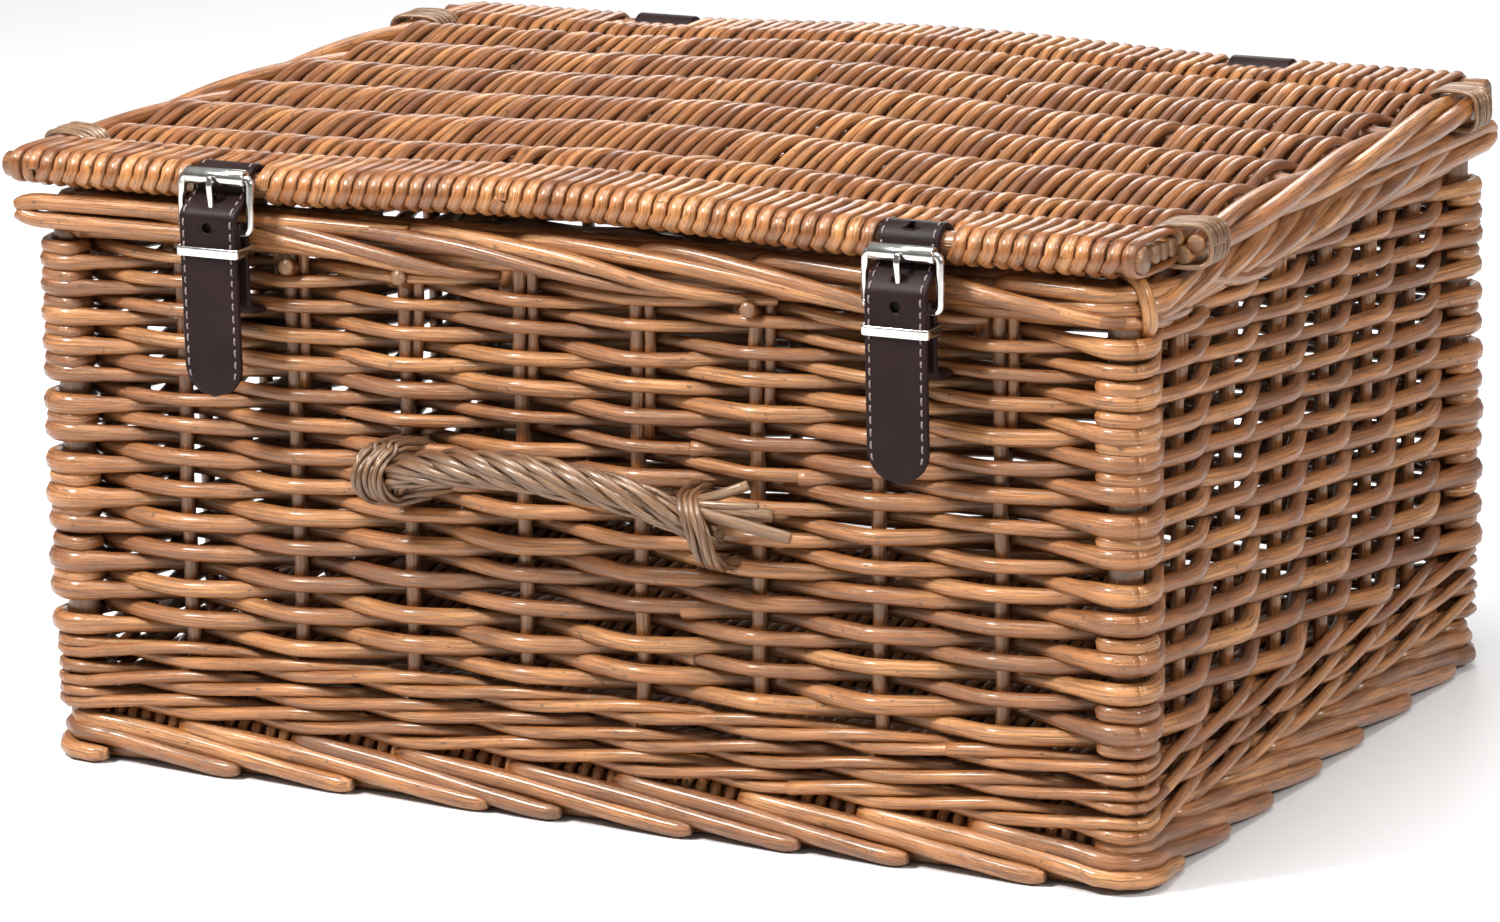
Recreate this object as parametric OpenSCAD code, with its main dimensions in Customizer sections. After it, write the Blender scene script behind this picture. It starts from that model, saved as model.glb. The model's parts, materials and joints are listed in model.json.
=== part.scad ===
// Wicker picnic hamper: a rectangular willow body with a hinged woven lid, two buckled
// leather straps, leather hinge loops and a twisted rope handle. Millimetres, +Z up.
// X runs along the front, -Y is the front, z = 0 is the floor.

/* [Body] */
// Width over the woven walls, along X
body_w = 450; // [370:1:560]
// Depth over the woven walls, along Y
body_d = 342; // [280:1:430]
// Thickness of a woven wall
wall_t = 17; // [16:0.5:21]
// Radius of the woven corners in plan
corner_r = 9; // [6:0.5:10]
// Height of the plaited foot border
foot_h = 20; // [17:0.5:26]
// Height of the band of fine twined rods above the foot
upsett_h = 30; // [24:1:40]
// Height of the plain weave above that band
weave_h = 153; // [126:1:190]
// Height of the top border
rim_h = 19; // [18:0.5:24]
// How far the top border stands out from the walls
rim_over = 6; // [5:0.5:8]

/* [Rods] */
// Diameter of an upright stake
stake_d = 7; // [5.5:0.1:8.4]
// Diameter of a corner post
post_d = 13; // [10:0.5:13.5]
// Stakes between the posts of a long wall
long_stakes = 8; // [5:1:11]
// Stakes between the posts of a short wall
short_stakes = 6; // [4:1:8]
// Diameter of a stick in the base and the lid
stick_d = 6; // [4.5:0.1:7]
// Sticks across the base
base_sticks_n = 7; // [4:1:9]
// Thickness of the base weave
base_t = 12; // [10:0.5:14]
// Diameter of the bare border rod that the hinge loops turn on
hinge_rod_d = 8; // [6.5:0.1:8.4]

/* [Lid] */
// Thickness of the woven lid
lid_t = 14.4; // [14:0.1:17]
// Daylight between the top border and the lid
lid_gap = 2.3; // [1.8:0.1:4]
// Diameter of the outer rod of the front and back bundles
edge_rod_d = 10; // [8:0.5:10.5]
// Diameter of the three inner rods of each bundle
bundle_rod_d = 7; // [5.5:0.1:8]
// How far the outer rods run past the weave at their long end
rod_end = 13; // [9:0.5:16]
// Sticks across the lid, between the bundles
lid_sticks_n = 6; // [4:1:8]
// Distance between the bundles and the outermost lid sticks
lid_stick_edge = 26.5; // [22:0.5:30]
// Width of the border rods along the lid's short edges
side_rods_w = 11; // [9:0.5:14]

/* [Straps] */
// How far each strap sits towards the middle from halfway between the last two stakes
strap_offset = 4.3; // [0:0.1:6]
// Width of the leather straps
strap_w = 24; // [19:0.5:29]
// Thickness of the leather
leather_t = 2.4; // [1.8:0.1:2.6]
// Height of the left roller above the outer lid rod
left_roller_rise = 4; // [0:0.5:5]
// Height of the right roller above the outer lid rod
right_roller_rise = -2; // [-5:0.5:5]
// Length of strap below the roller
strap_tail = 82; // [68:1:100]
// Distance between punched holes
hole_pitch = 11.4; // [9.5:0.1:13.6]
// Diameter of a punched hole
hole_d = 4.2; // [3.8:0.1:5]
// Height where the buckle straps enter the wall
anchor_z = 184; // [150:1:186]

/* [Buckles] */
// Diameter of the buckle wire
wire_d = 3.2; // [2.6:0.1:3.4]
// Diameter of the roller
roller_d = 6.5; // [5.5:0.1:7]
// Distance from the roller to the heel bar
buckle_h = 20; // [18:0.5:24]
// Diameter of the prong
prong_d = 2.6; // [2:0.1:2.8]
// Distance from the roller down to the keeper
keeper_drop = 27; // [25:0.5:30]
// Height of the keeper band
keeper_h = 4.5; // [3.5:0.1:5.5]
// Thickness of the keeper band
keeper_t = 1; // [0.8:0.1:1.2]

/* [Hinges] */
// Distance from the middle to each hinge loop
hinge_x = 133; // [100:1:165]
// Width of a hinge loop
hinge_w = 26; // [21:0.5:31]

/* [Handle] */
// Middle of the handle along X
handle_mid_x = -6; // [-40:1:40]
// Distance between the handle's eyes
handle_span = 136; // [113:1:163]
// Diameter of the twisted rope
rope_d = 17; // [14:0.5:19]
// Height of the left eye
left_eye_z = 129; // [105:1:150]
// How much lower the right eye is
eye_drop = 10; // [0:0.5:14]
// How far the rope arches up between its eyes
handle_rise = 15; // [8:0.5:20]
// How far the rope stands out between its eyes
handle_reach = 12; // [10:0.5:18]

/* [Hidden] */
$fn = 48;

// Clearances
seat = 0.1;      // fixed rods in the weave
run = 0.3;       // pieces that move past each other
pivot = 0.1;     // radial play of a pin or rod in its bore
ledge_gap = 0.4; // between the top border's ledge and the hinge rod

// Heights
upsett_z = foot_h;
weave_z = foot_h + upsett_h;
rim_z = weave_z + weave_h;
body_h = rim_z + rim_h;
base_z = foot_h - base_t + 1;
rod_end_z = 4;          // where the stakes and posts start
rim_cover = 4;          // border left above the stakes and posts

// Walls in plan
in_w = body_w - 2 * wall_t;
in_d = body_d - 2 * wall_t;
foot_in = 3;            // the foot border is this much thicker on the inside
stick_tuck = 8;         // how far the base sticks stop short of the walls
rim_w = body_w + 2 * rim_over;
rim_d = body_d + 2 * rim_over;
stake_x = (body_w - wall_t) / 2;
stake_y = (body_d - wall_t) / 2;

// Back border rod: the lid turns about it
hinge_y = rim_d / 2 - hinge_rod_d / 2;
hinge_drop = 2;         // the hinge rod lies this far below the top of the border
hinge_z = body_h - hinge_rod_d / 2 - hinge_drop;
hinge_ring_r = hinge_rod_d / 2 + run;
rod_seat = 9;           // how deep each end of the rod sits in the border
rod_end_cover = 17;     // border left over each end of the rod
rod_bare = rim_w / 2 - rod_end_cover;

// Lid
lid_z = body_h + lid_gap;
lid_mid = lid_z + lid_t / 2;
lid_d = rim_d + 1;
wrap_t = (lid_t - edge_rod_d) / 2;
wrap_bite = 0.7;        // how far the wraps sink in at the edge
weave_w = body_w - 2;
rod_short_end = 3;      // how far the other ends of the rods run past the weave
stick_inset = 3;        // the lid sticks stop this far inside the weave
edge_y = lid_d / 2 - wrap_t + wrap_bite - edge_rod_d / 2;
strap_slot = leather_t + 2 * run;
inner_rod_y = edge_y - edge_rod_d / 2 - strap_slot - bundle_rod_d / 2;
lid_stick_pitch = 2 * (inner_rod_y - 2 * bundle_rod_d - lid_stick_edge) / (lid_sticks_n - 1);
band_gap = 5;           // bare rod beside each strap and hinge loop
side_rods_cut = 38;     // the side rods stop this far short of the lid's edges
side_rods_end = lid_d / 2 - side_rods_cut;
side_rods_t = 10;
side_rods_x = weave_w / 2 + 0.5 + side_rods_w / 2;
lashing_w = 10;
lashing_t = 1.6;
lashing_inset = 2;

// Straps and buckles, in the basket's frame
loop_r = edge_rod_d / 2 + run;
front_rod_y = -edge_y;
roller_reach = loop_r + leather_t + run + roller_d / 2;
rim_face = -rim_d / 2;
keeper_back = rim_face - run;
back_layer = keeper_back - keeper_t - run;
heel_y = back_layer - leather_t - pivot - wire_d / 2;
front_layer = heel_y - wire_d / 2 - pivot;
tail_back = front_layer - leather_t - run;
keeper_front = tail_back - leather_t - run - keeper_t;
arm_gap = 0.9;          // between the strap's edge and a buckle arm
arm_x = strap_w / 2 + arm_gap + wire_d / 2;
prong_slot = prong_d + 2 * run;
prong_ring_t = 1.6;
prong_ring_r = wire_d / 2 + pivot + prong_ring_t;
prong_over = 1.5;       // the prong's tip reaches this far above the roller's axis
left_roller_z = lid_mid + left_roller_rise;
right_roller_z = lid_mid + right_roller_rise;
strap_x = (long_stake_x(long_stakes - 1) + long_stake_x(long_stakes - 2)) / 2 - strap_offset;
bend_r = 5;             // inner bend of the buckle strap where it enters the wall
strap_tuck = 12;        // buckle strap left hanging inside the wall

// Handle
end_r = rope_d * 0.36;  // the rope is thinner where it runs through the eyes
eye_r = end_r + 1;
eye_wire = 3.4;
eye_bury = 4.6;
eye_y = -body_d / 2 - eye_r - eye_wire - run;
eye_tilt = atan2(eye_drop, handle_span);
eye_mid_z = left_eye_z - eye_drop / 2;
eye_at = norm([handle_span, eye_drop]) / 2;
rope_rings = 29;
rope_sides = 12;
end_run = 7;            // straight rope on each side of an eye

// The outermost points in Y, and the shift that centres the whole object over the origin
front_face = eye_y - handle_reach - rope_d / 2;
back_face = hinge_y + hinge_ring_r + leather_t;
frame_shift = (-front_face - back_face) / 2;

willow = [0.66, 0.41, 0.21];
willow_dark = [0.52, 0.30, 0.15];
willow_pale = [0.76, 0.56, 0.34];
leather = [0.20, 0.14, 0.13];
nickel = [0.80, 0.80, 0.78];

// ---------- shared shapes ----------

module placed() {
    translate([0, frame_shift, 0]) children();
}

// Rectangle with round corners, from exact arcs
module round_rect(w, d, r) {
    square([w - 2 * r, d], center = true);
    square([w, d - 2 * r], center = true);
    for (x = [-1, 1], y = [-1, 1])
        translate([x * (w / 2 - r), y * (d / 2 - r)]) circle(r);
}

// Bar along X with a round-ended profile of thickness t across Z
module soft_bar_x(x0, x1, y0, y1, z_mid, t) {
    translate([x0, 0, z_mid]) rotate([90, 0, 90]) linear_extrude(x1 - x0) {
        translate([y0 + t / 2, -t / 2]) square([y1 - y0 - t, t]);
        translate([y0 + t / 2, 0]) circle(d = t);
        translate([y1 - t / 2, 0]) circle(d = t);
    }
}

module rod_x(x0, x1, y, z, d) {
    translate([x0, y, z]) rotate([0, 90, 0]) cylinder(h = x1 - x0, d = d);
}

module rod_z(x, y, z0, z1, d) {
    translate([x, y, z0]) cylinder(h = z1 - z0, d = d);
}

// Everything in front of (side = -1) or behind (side = 1) the inside of the long walls
module long_region(side, z0, h) {
    translate([-body_w, side > 0 ? in_d / 2 : -in_d / 2 - body_d, z0]) cube([2 * body_w, body_d, h]);
}

// A ring of wall between two outlines
module wall_ring(w, d, inner_w, inner_d, z0, h) {
    translate([0, 0, z0]) linear_extrude(h) difference() {
        round_rect(w, d, corner_r);
        square([inner_w, inner_d], center = true);
    }
}

function long_stake_x(i) = -stake_x + 2 * stake_x * (i + 1) / (long_stakes + 1);
function short_stake_y(i) = -stake_y + 2 * stake_y * (i + 1) / (short_stakes + 1);
function lid_stick_y(i) = (i - (lid_sticks_n - 1) / 2) * lid_stick_pitch;
function base_stick_y(i) = (i + 1 - (base_sticks_n + 1) / 2) * (in_d - 2 * foot_in) / (base_sticks_n + 1);

// All uprights, grown by extra on the diameter
module uprights(extra = 0) {
    for (side = [-1, 1]) {
        stake_row_long(side, extra);
        stake_row_short(side, extra);
    }
    for (x = [-1, 1], y = [-1, 1]) post(x, y, extra);
}

module post(x, y, extra = 0) {
    rod_z(x * stake_x, y * stake_y, rod_end_z - extra, body_h - rim_cover + extra, post_d + extra);
}

module stake_row_long(side, extra = 0) {
    for (i = [0 : long_stakes - 1])
        rod_z(long_stake_x(i), side * stake_y, rod_end_z - extra, body_h - rim_cover + extra,
              stake_d + extra);
}

module stake_row_short(side, extra = 0) {
    for (i = [0 : short_stakes - 1])
        rod_z(side * stake_x, short_stake_y(i), rod_end_z - extra, body_h - rim_cover + extra,
              stake_d + extra);
}

// ---------- base and walls ----------

module base_sticks(extra = 0) {
    color(willow_dark) for (i = [0 : base_sticks_n - 1])
        rod_x(-in_w / 2 + stick_tuck - extra, in_w / 2 - stick_tuck + extra, base_stick_y(i),
              base_z + base_t / 2, stick_d + extra);
}

module base_weave() {
    color(willow) difference() {
        translate([-in_w / 2 + foot_in, -in_d / 2 + foot_in, base_z])
            cube([in_w - 2 * foot_in, in_d - 2 * foot_in, base_t]);
        base_sticks(2 * seat);
    }
}

module foot_border() {
    color(willow_dark) difference() {
        wall_ring(body_w, body_d, in_w - 2 * foot_in, in_d - 2 * foot_in, 0, foot_h);
        uprights(2 * seat);
    }
}

module upsett_band() {
    color(willow_dark) difference() {
        wall_ring(body_w, body_d, in_w, in_d, upsett_z, upsett_h);
        uprights(2 * seat);
    }
}

module weave_long(side) {
    intersection() {
        wall_ring(body_w, body_d, in_w, in_d, weave_z, weave_h);
        long_region(side, weave_z, weave_h);
    }
}

module weave_front() {
    color(willow) difference() {
        weave_long(-1);
        uprights(2 * seat);
        for (side = [-1, 1]) anchor_slot(side);
        handle_eye_sockets();
    }
}

module weave_back() {
    color(willow) difference() {
        weave_long(1);
        uprights(2 * seat);
    }
}

module weave_short(side) {
    color(willow) difference() {
        translate([side > 0 ? in_w / 2 : -body_w / 2, -in_d / 2, weave_z]) cube([wall_t, in_d, weave_h]);
        stake_row_short(side, 2 * seat);
    }
}

module weave_left() {
    weave_short(-1);
}

module weave_right() {
    weave_short(1);
}

module top_border_front() {
    color(willow_dark) difference() {
        intersection() {
            wall_ring(rim_w, rim_d, in_w, in_d, rim_z, rim_h);
            long_region(-1, rim_z, rim_h);
        }
        uprights(2 * seat);
    }
}

module top_border_back() {
    ledge_y = hinge_y - hinge_rod_d / 2 - ledge_gap;
    loop_w = hinge_w + 2;
    color(willow_dark) difference() {
        intersection() {
            wall_ring(rim_w, rim_d, in_w, in_d, rim_z, rim_h);
            long_region(1, rim_z, rim_h);
        }
        uprights(2 * seat);
        translate([-rod_bare, ledge_y, rim_z - 1]) cube([2 * rod_bare, rim_d, rim_h + 2]);
        rod_x(-rod_bare - rod_seat - seat, rod_bare + rod_seat + seat, hinge_y, hinge_z,
              hinge_rod_d + 2 * seat);
        for (side = [-1, 1])
            rod_x(side * hinge_x - loop_w / 2, side * hinge_x + loop_w / 2, hinge_y, hinge_z,
                  2 * (hinge_ring_r + leather_t + run));
    }
}

module top_border_short(side) {
    color(willow_dark) difference() {
        translate([side > 0 ? in_w / 2 : -rim_w / 2, -in_d / 2, rim_z])
            cube([wall_t + rim_over, in_d, rim_h]);
        stake_row_short(side, 2 * seat);
    }
}

module top_border_left() {
    top_border_short(-1);
}

module top_border_right() {
    top_border_short(1);
}

module hinge_rod() {
    color(willow_dark) rod_x(-rod_bare - rod_seat, rod_bare + rod_seat, hinge_y, hinge_z, hinge_rod_d);
}

// ---------- lid ----------

// The rods of one edge bundle; side = -1 is the front
module edge_rods(side, extra = 0) {
    long_end = weave_w / 2 + rod_end;
    short_end = weave_w / 2 + rod_short_end;
    rod_x(-long_end - extra, short_end + extra, side * edge_y, lid_mid, edge_rod_d + extra);
    for (i = [0 : 2])
        rod_x(-short_end - extra, short_end + extra, side * (inner_rod_y - i * bundle_rod_d),
              lid_mid, bundle_rod_d - seat + extra);
}

module lid_front_rods() {
    color(willow_dark) edge_rods(-1);
}

module lid_back_rods() {
    color(willow_dark) edge_rods(1);
}

module lid_sticks(extra = 0) {
    color(willow_dark) for (i = [0 : lid_sticks_n - 1])
        rod_x(-weave_w / 2 + stick_inset - extra, weave_w / 2 - stick_inset + extra, lid_stick_y(i),
              lid_mid, stick_d + extra);
}

// Gap in the edge wraps where leather passes round the outer rod
module edge_notch(side, x, w) {
    depth = wrap_t + edge_rod_d + strap_slot;
    translate([x - w / 2, side > 0 ? edge_y + edge_rod_d / 2 + wrap_t - depth : -lid_d, lid_z - 1])
        cube([w, lid_d - edge_y - edge_rod_d / 2 - wrap_t + depth, lid_t + 2]);
}

module lid_weave() {
    color(willow) difference() {
        soft_bar_x(-weave_w / 2, weave_w / 2, -lid_d / 2, lid_d / 2, lid_mid, lid_t);
        edge_rods(-1, 2 * seat);
        edge_rods(1, 2 * seat);
        lid_sticks(2 * seat);
        for (side = [-1, 1]) {
            edge_notch(-1, side * strap_x, strap_w + 2 * band_gap);
            edge_notch(1, side * hinge_x, hinge_w + 2 * band_gap);
        }
    }
}

module side_rods(side) {
    color(willow) translate([side * side_rods_x, 0, lid_mid]) rotate([90, 0, 0])
        linear_extrude(2 * side_rods_end, center = true) round_rect(side_rods_w, side_rods_t, 4);
}

module lid_side_rods_left() {
    side_rods(-1);
}

module lid_side_rods_right() {
    side_rods(1);
}

// Bands of split skein round the ends of the side rods
module lid_lashings() {
    band_y = side_rods_end - lashing_w / 2 - lashing_inset;
    color(willow_pale) for (x = [-1, 1], y = [-1, 1])
        translate([x * side_rods_x, y * band_y, lid_mid]) rotate([90, 0, 0])
            linear_extrude(lashing_w, center = true) difference() {
                intersection() {
                    round_rect(side_rods_w + 2 * lashing_t, side_rods_t + 2 * lashing_t, 5);
                    translate([x * lashing_t, 0]) square([side_rods_w + 2 * lashing_t, lid_t], center = true);
                }
                round_rect(side_rods_w + 2 * seat, side_rods_t + 2 * seat, 4);
            }
}

// Leather loop: one ring turns on the border rod, the other holds the lid's outer rod
module hinge_loop(x) {
    low = [hinge_y, hinge_z];
    high = [edge_y, lid_mid];
    color(leather) translate([x - hinge_w / 2, 0, 0]) rotate([90, 0, 90]) linear_extrude(hinge_w)
        difference() {
            union() {
                translate(low) circle(hinge_ring_r + leather_t);
                translate(high) circle(edge_rod_d / 2 + seat + leather_t);
                translate([low[0] - leather_t, low[1]]) square([2 * leather_t, high[1] - low[1]]);
            }
            translate(low) circle(hinge_ring_r);
            translate(high) circle(edge_rod_d / 2 + seat);
        }
}

module hinge_loop_left() {
    hinge_loop(-hinge_x);
}

module hinge_loop_right() {
    hinge_loop(hinge_x);
}

// ---------- straps and buckles ----------

// Points offset sideways from a path by d, for ribbons of even thickness
function unit(v) = v / norm(v);
function turn_left(v) = [-v[1], v[0]];
function tangent(p, i) = unit(p[min(i + 1, len(p) - 1)] - p[max(i - 1, 0)]);
function shifted(p, d) = [for (i = [0 : len(p) - 1]) p[i] + d * turn_left(tangent(p, i))];
function reversed(p) = [for (i = [len(p) - 1 : -1 : 0]) p[i]];
function arc(c, r, a0, a1, n) = [for (i = [0 : n]) c + r * [cos(a0 + (a1 - a0) * i / n),
                                                           sin(a0 + (a1 - a0) * i / n)]];
// Smooth step from p0 to p1 that leaves and arrives straight down
function s_curve(p0, p1, n) = [for (i = [0 : n]) let (t = i / n)
    [p0[0] + (p1[0] - p0[0]) * t * t * (3 - 2 * t), p0[1] + (p1[1] - p0[1]) * t]];

// A ribbon of leather: a path in the YZ plane, given a thickness and a width
module ribbon(path, x, w, t) {
    translate([x - w / 2, 0, 0]) rotate([90, 0, 90]) linear_extrude(w)
        polygon(concat(shifted(path, t / 2), reversed(shifted(path, -t / 2))));
}

function roller_y(z) = front_rod_y - sqrt(pow(roller_reach, 2) - pow(max(0, z - lid_mid), 2));
function heel_z(z) = z - buckle_h;
strap_out = front_rod_y - loop_r - leather_t / 2;

// Lid strap: round the outer rod, down behind the roller, out over the heel bar, then free
function lid_strap_path(z) = concat(
    arc([front_rod_y, lid_mid], loop_r + leather_t / 2, -60, 180, 24),
    s_curve([strap_out, min(z, lid_mid) - 1.5], [tail_back - leather_t / 2, heel_z(z) + 6], 10),
    [[tail_back - leather_t / 2, z - keeper_drop], [tail_back - leather_t / 2 + 1, z - strap_tail]]);

module lid_strap(x, z) {
    tip_r = strap_w / 2;
    color(leather) difference() {
        intersection() {
            ribbon(lid_strap_path(z), x, strap_w, leather_t);
            union() {
                translate([x - strap_w, -lid_d, z - strap_tail + tip_r])
                    cube([2 * strap_w, lid_d, strap_tail + 40]);
                translate([x, 0, z - strap_tail + tip_r]) rotate([90, 0, 0]) cylinder(h = lid_d, r = tip_r);
            }
        }
        prong_path_cut(x, z);
        for (k = [1 : 2])
            translate([x, tail_back + 1, prong_hole_z(z) - k * hole_pitch]) rotate([90, 0, 0])
                cylinder(h = 5, d = hole_d);
    }
}

// The prong leans from the heel bar out over the roller
function prong_top_y(z) = roller_y(z) - roller_d / 2 - run - prong_d / 2;
function prong_lean(z) = atan2(heel_y - prong_top_y(z), buckle_h);
function prong_hole_z(z) = heel_z(z) + 0.55 * buckle_h;

module prong_path_cut(x, z) {
    translate([x, heel_y, heel_z(z)]) rotate([prong_lean(z), 0, 0])
        cylinder(h = buckle_h + 2, d = prong_d + 2 * run);
    translate([x, heel_y, heel_z(z)]) rotate([0, 90, 0])
        cylinder(h = prong_slot, r = prong_ring_r + run, center = true);
}

module buckle_prong(x, z) {
    color(nickel) translate([x, heel_y, heel_z(z)]) difference() {
        union() {
            rotate([0, 90, 0]) cylinder(h = prong_d, r = prong_ring_r, center = true);
            rotate([prong_lean(z), 0, 0]) cylinder(h = buckle_h + prong_over, d = prong_d);
            rotate([prong_lean(z), 0, 0]) translate([0, 0, buckle_h + prong_over]) sphere(d = prong_d);
        }
        rotate([0, 90, 0]) cylinder(h = strap_w, r = wire_d / 2 + pivot, center = true);
    }
}

// Wire frame: roller bar, two side arms and the heel bar
module buckle_frame(x, z) {
    top = [roller_y(z), z];
    heel = [heel_y, heel_z(z)];
    lean = atan2(heel[0] - top[0], top[1] - heel[1]);
    arm_len = norm(top - heel);
    color(nickel) translate([x, heel[0], heel[1]]) rotate([lean, 0, 0]) {
        for (end = [0, arm_len]) rod_x(-arm_x, arm_x, 0, end, wire_d);
        for (side = [-1, 1]) {
            rod_z(side * arm_x, 0, 0, arm_len, wire_d);
            for (end = [0, arm_len]) translate([side * arm_x, 0, end]) sphere(d = wire_d);
        }
    }
}

module buckle_roller(x, z) {
    half = arm_x - wire_d / 2 - run;
    color(nickel) translate([0, roller_y(z), z]) difference() {
        rod_x(x - half, x + half, 0, 0, roller_d);
        rod_x(x - half - 1, x + half + 1, 0, 0, wire_d + 2 * pivot);
    }
}

// Flat band round the buckle strap and the tail
module keeper(x, z) {
    half = strap_w / 2 + run;
    depth = keeper_back - keeper_front;
    color(nickel) translate([x, (keeper_back + keeper_front) / 2, z - keeper_drop - keeper_h / 2])
        linear_extrude(keeper_h) difference() {
            round_rect(2 * (half + keeper_t), depth, 1.6);
            square([2 * half, depth - 2 * keeper_t], center = true);
        }
}

// Buckle strap: tucked inside the wall, out through the weave, up and round the heel bar
function buckle_strap_path(z) = let (mid = back_layer - leather_t / 2, r = bend_r + leather_t / 2,
                                     in_y = -in_d / 2 + leather_t / 2 + seat)
    concat(
        [[in_y, anchor_z - r - strap_tuck]],
        arc([in_y - r, anchor_z - r], r, 0, 90, 6),
        arc([mid + r, anchor_z + r], r, 270, 180, 6),
        arc([heel_y, heel_z(z)], wire_d / 2 + pivot + leather_t / 2, 0, 180, 16),
        [[front_layer - leather_t / 2, heel_z(z) - keeper_drop + buckle_h - keeper_h]]);

module buckle_strap(x, z) {
    color(leather) difference() {
        ribbon(buckle_strap_path(z), x, strap_w - 0.6, leather_t);
        translate([x, heel_y, heel_z(z)]) rotate([0, 90, 0])
            cylinder(h = prong_slot, r = prong_ring_r + 1, center = true);
        translate([x - prong_slot / 2, heel_y - buckle_h, heel_z(z) - prong_d])
            cube([prong_slot, buckle_h, buckle_h]);
        rod_x(x - strap_w, x + strap_w, heel_y, heel_z(z), wire_d + 2 * pivot);
    }
}

module anchor_slot(side) {
    in_y = -in_d / 2 + leather_t / 2 + seat;
    drop = bend_r + leather_t + 1;
    translate([side * strap_x - strap_w / 2, -body_d, anchor_z - drop])
        cube([strap_w, body_d + in_y, drop + leather_t / 2 + seat + 3]);
}

module buckle_strap_left() {
    buckle_strap(-strap_x, left_roller_z);
}

module buckle_strap_right() {
    buckle_strap(strap_x, right_roller_z);
}

module lid_strap_left() {
    lid_strap(-strap_x, left_roller_z);
}

module lid_strap_right() {
    lid_strap(strap_x, right_roller_z);
}

module buckle_frame_left() {
    buckle_frame(-strap_x, left_roller_z);
}

module buckle_frame_right() {
    buckle_frame(strap_x, right_roller_z);
}

module buckle_roller_left() {
    buckle_roller(-strap_x, left_roller_z);
}

module buckle_roller_right() {
    buckle_roller(strap_x, right_roller_z);
}

module buckle_prong_left() {
    buckle_prong(-strap_x, left_roller_z);
}

module buckle_prong_right() {
    buckle_prong(strap_x, right_roller_z);
}

module keeper_left() {
    keeper(-strap_x, left_roller_z);
}

module keeper_right() {
    keeper(strap_x, right_roller_z);
}

// ---------- handle ----------

// Frame of the line through both eyes
module on_eye_line() {
    translate([handle_mid_x, eye_y, eye_mid_z]) rotate([0, eye_tilt, 0]) children();
}

// Loops of split willow that hold the rope's ends to the wall
module handle_eyes() {
    bury = -body_d / 2 + eye_bury - eye_y;
    color(willow_pale) on_eye_line() for (side = [-1, 1]) {
        translate([side * eye_at, 0, 0]) rotate([0, 90, 0]) rotate_extrude() {
            translate([eye_r + eye_wire / 2, 0]) circle(d = eye_wire);
            translate([eye_r, -eye_wire / 2]) square([eye_wire / 2, eye_wire]);
        }
        translate([side * eye_at, eye_r + 1, 0]) rotate([-90, 0, 0])
            cylinder(h = bury - eye_r - 1, d = eye_wire);
    }
}

module handle_eye_sockets() {
    bury = -body_d / 2 + eye_bury - eye_y;
    on_eye_line() for (side = [-1, 1])
        translate([side * eye_at, eye_r + 1, 0]) rotate([-90, 0, 0])
            cylinder(h = bury - eye_r - 1 + seat, d = eye_wire + 2 * seat);
}

// The rope: straight through each eye, then one arch between them
function rope_bow(t) = t < 0 || t > 1 ? 0 : sin(180 * t);
function rope_s(i) = -eye_at - end_run + 2 * (eye_at + end_run) * i / (rope_rings - 1);
function rope_t(s) = (s + eye_at - end_run) / (2 * (eye_at - end_run));
function rope_c(s) = let (b = rope_bow(rope_t(s))) [s, -handle_reach * b, handle_rise * b];
function rope_r(s) = end_r + (rope_d / 2 - end_r) * pow(rope_bow(rope_t(s)), 0.5);
function rope_ring(i) = let (s = rope_s(i), c = rope_c(s), ahead = rope_c(s + 0.5) - rope_c(s - 0.5),
                             u = unit(ahead), v = unit(cross([0, 0, 1], u)), w = cross(u, v), r = rope_r(s))
    [for (k = [0 : rope_sides - 1]) c + r * (cos(360 * k / rope_sides) * v + sin(360 * k / rope_sides) * w)];

module rope_handle() {
    points = [for (i = [0 : rope_rings - 1]) each rope_ring(i)];
    sides = [for (i = [0 : rope_rings - 2], k = [0 : rope_sides - 1]) let (n = (k + 1) % rope_sides)
        [i * rope_sides + k, i * rope_sides + n, (i + 1) * rope_sides + n, (i + 1) * rope_sides + k]];
    first = [for (k = [rope_sides - 1 : -1 : 0]) k];
    last = [for (k = [0 : rope_sides - 1]) (rope_rings - 1) * rope_sides + k];
    color(willow_pale) on_eye_line() polyhedron(points, concat([first], sides, [last]));
}

// ---------- nodes ----------

placed() base_weave();
placed() base_sticks();
placed() foot_border();
placed() upsett_band();
placed() color(willow_dark) post(-1, -1);  // post_front_left
placed() color(willow_dark) post(1, -1);  // post_front_right
placed() color(willow_dark) post(-1, 1);  // post_back_left
placed() color(willow_dark) post(1, 1);  // post_back_right
placed() color(willow_dark) stake_row_long(-1);  // stakes_front
placed() color(willow_dark) stake_row_long(1);  // stakes_back
placed() color(willow_dark) stake_row_short(-1);  // stakes_left
placed() color(willow_dark) stake_row_short(1);  // stakes_right
placed() weave_front();
placed() weave_back();
placed() weave_left();
placed() weave_right();
placed() top_border_front();
placed() top_border_back();
placed() top_border_left();
placed() top_border_right();
placed() hinge_rod();
placed() buckle_strap_left();
placed() buckle_strap_right();
placed() handle_eyes();
placed() rope_handle();
placed() lid_weave();
placed() lid_sticks();
placed() lid_front_rods();
placed() lid_back_rods();
placed() lid_side_rods_left();
placed() lid_side_rods_right();
placed() lid_lashings();
placed() hinge_loop_left();
placed() hinge_loop_right();
placed() lid_strap_left();
placed() lid_strap_right();
placed() buckle_frame_left();
placed() buckle_frame_right();
placed() buckle_roller_left();
placed() buckle_roller_right();
placed() buckle_prong_left();
placed() buckle_prong_right();
placed() keeper_left();
placed() keeper_right();
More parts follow.
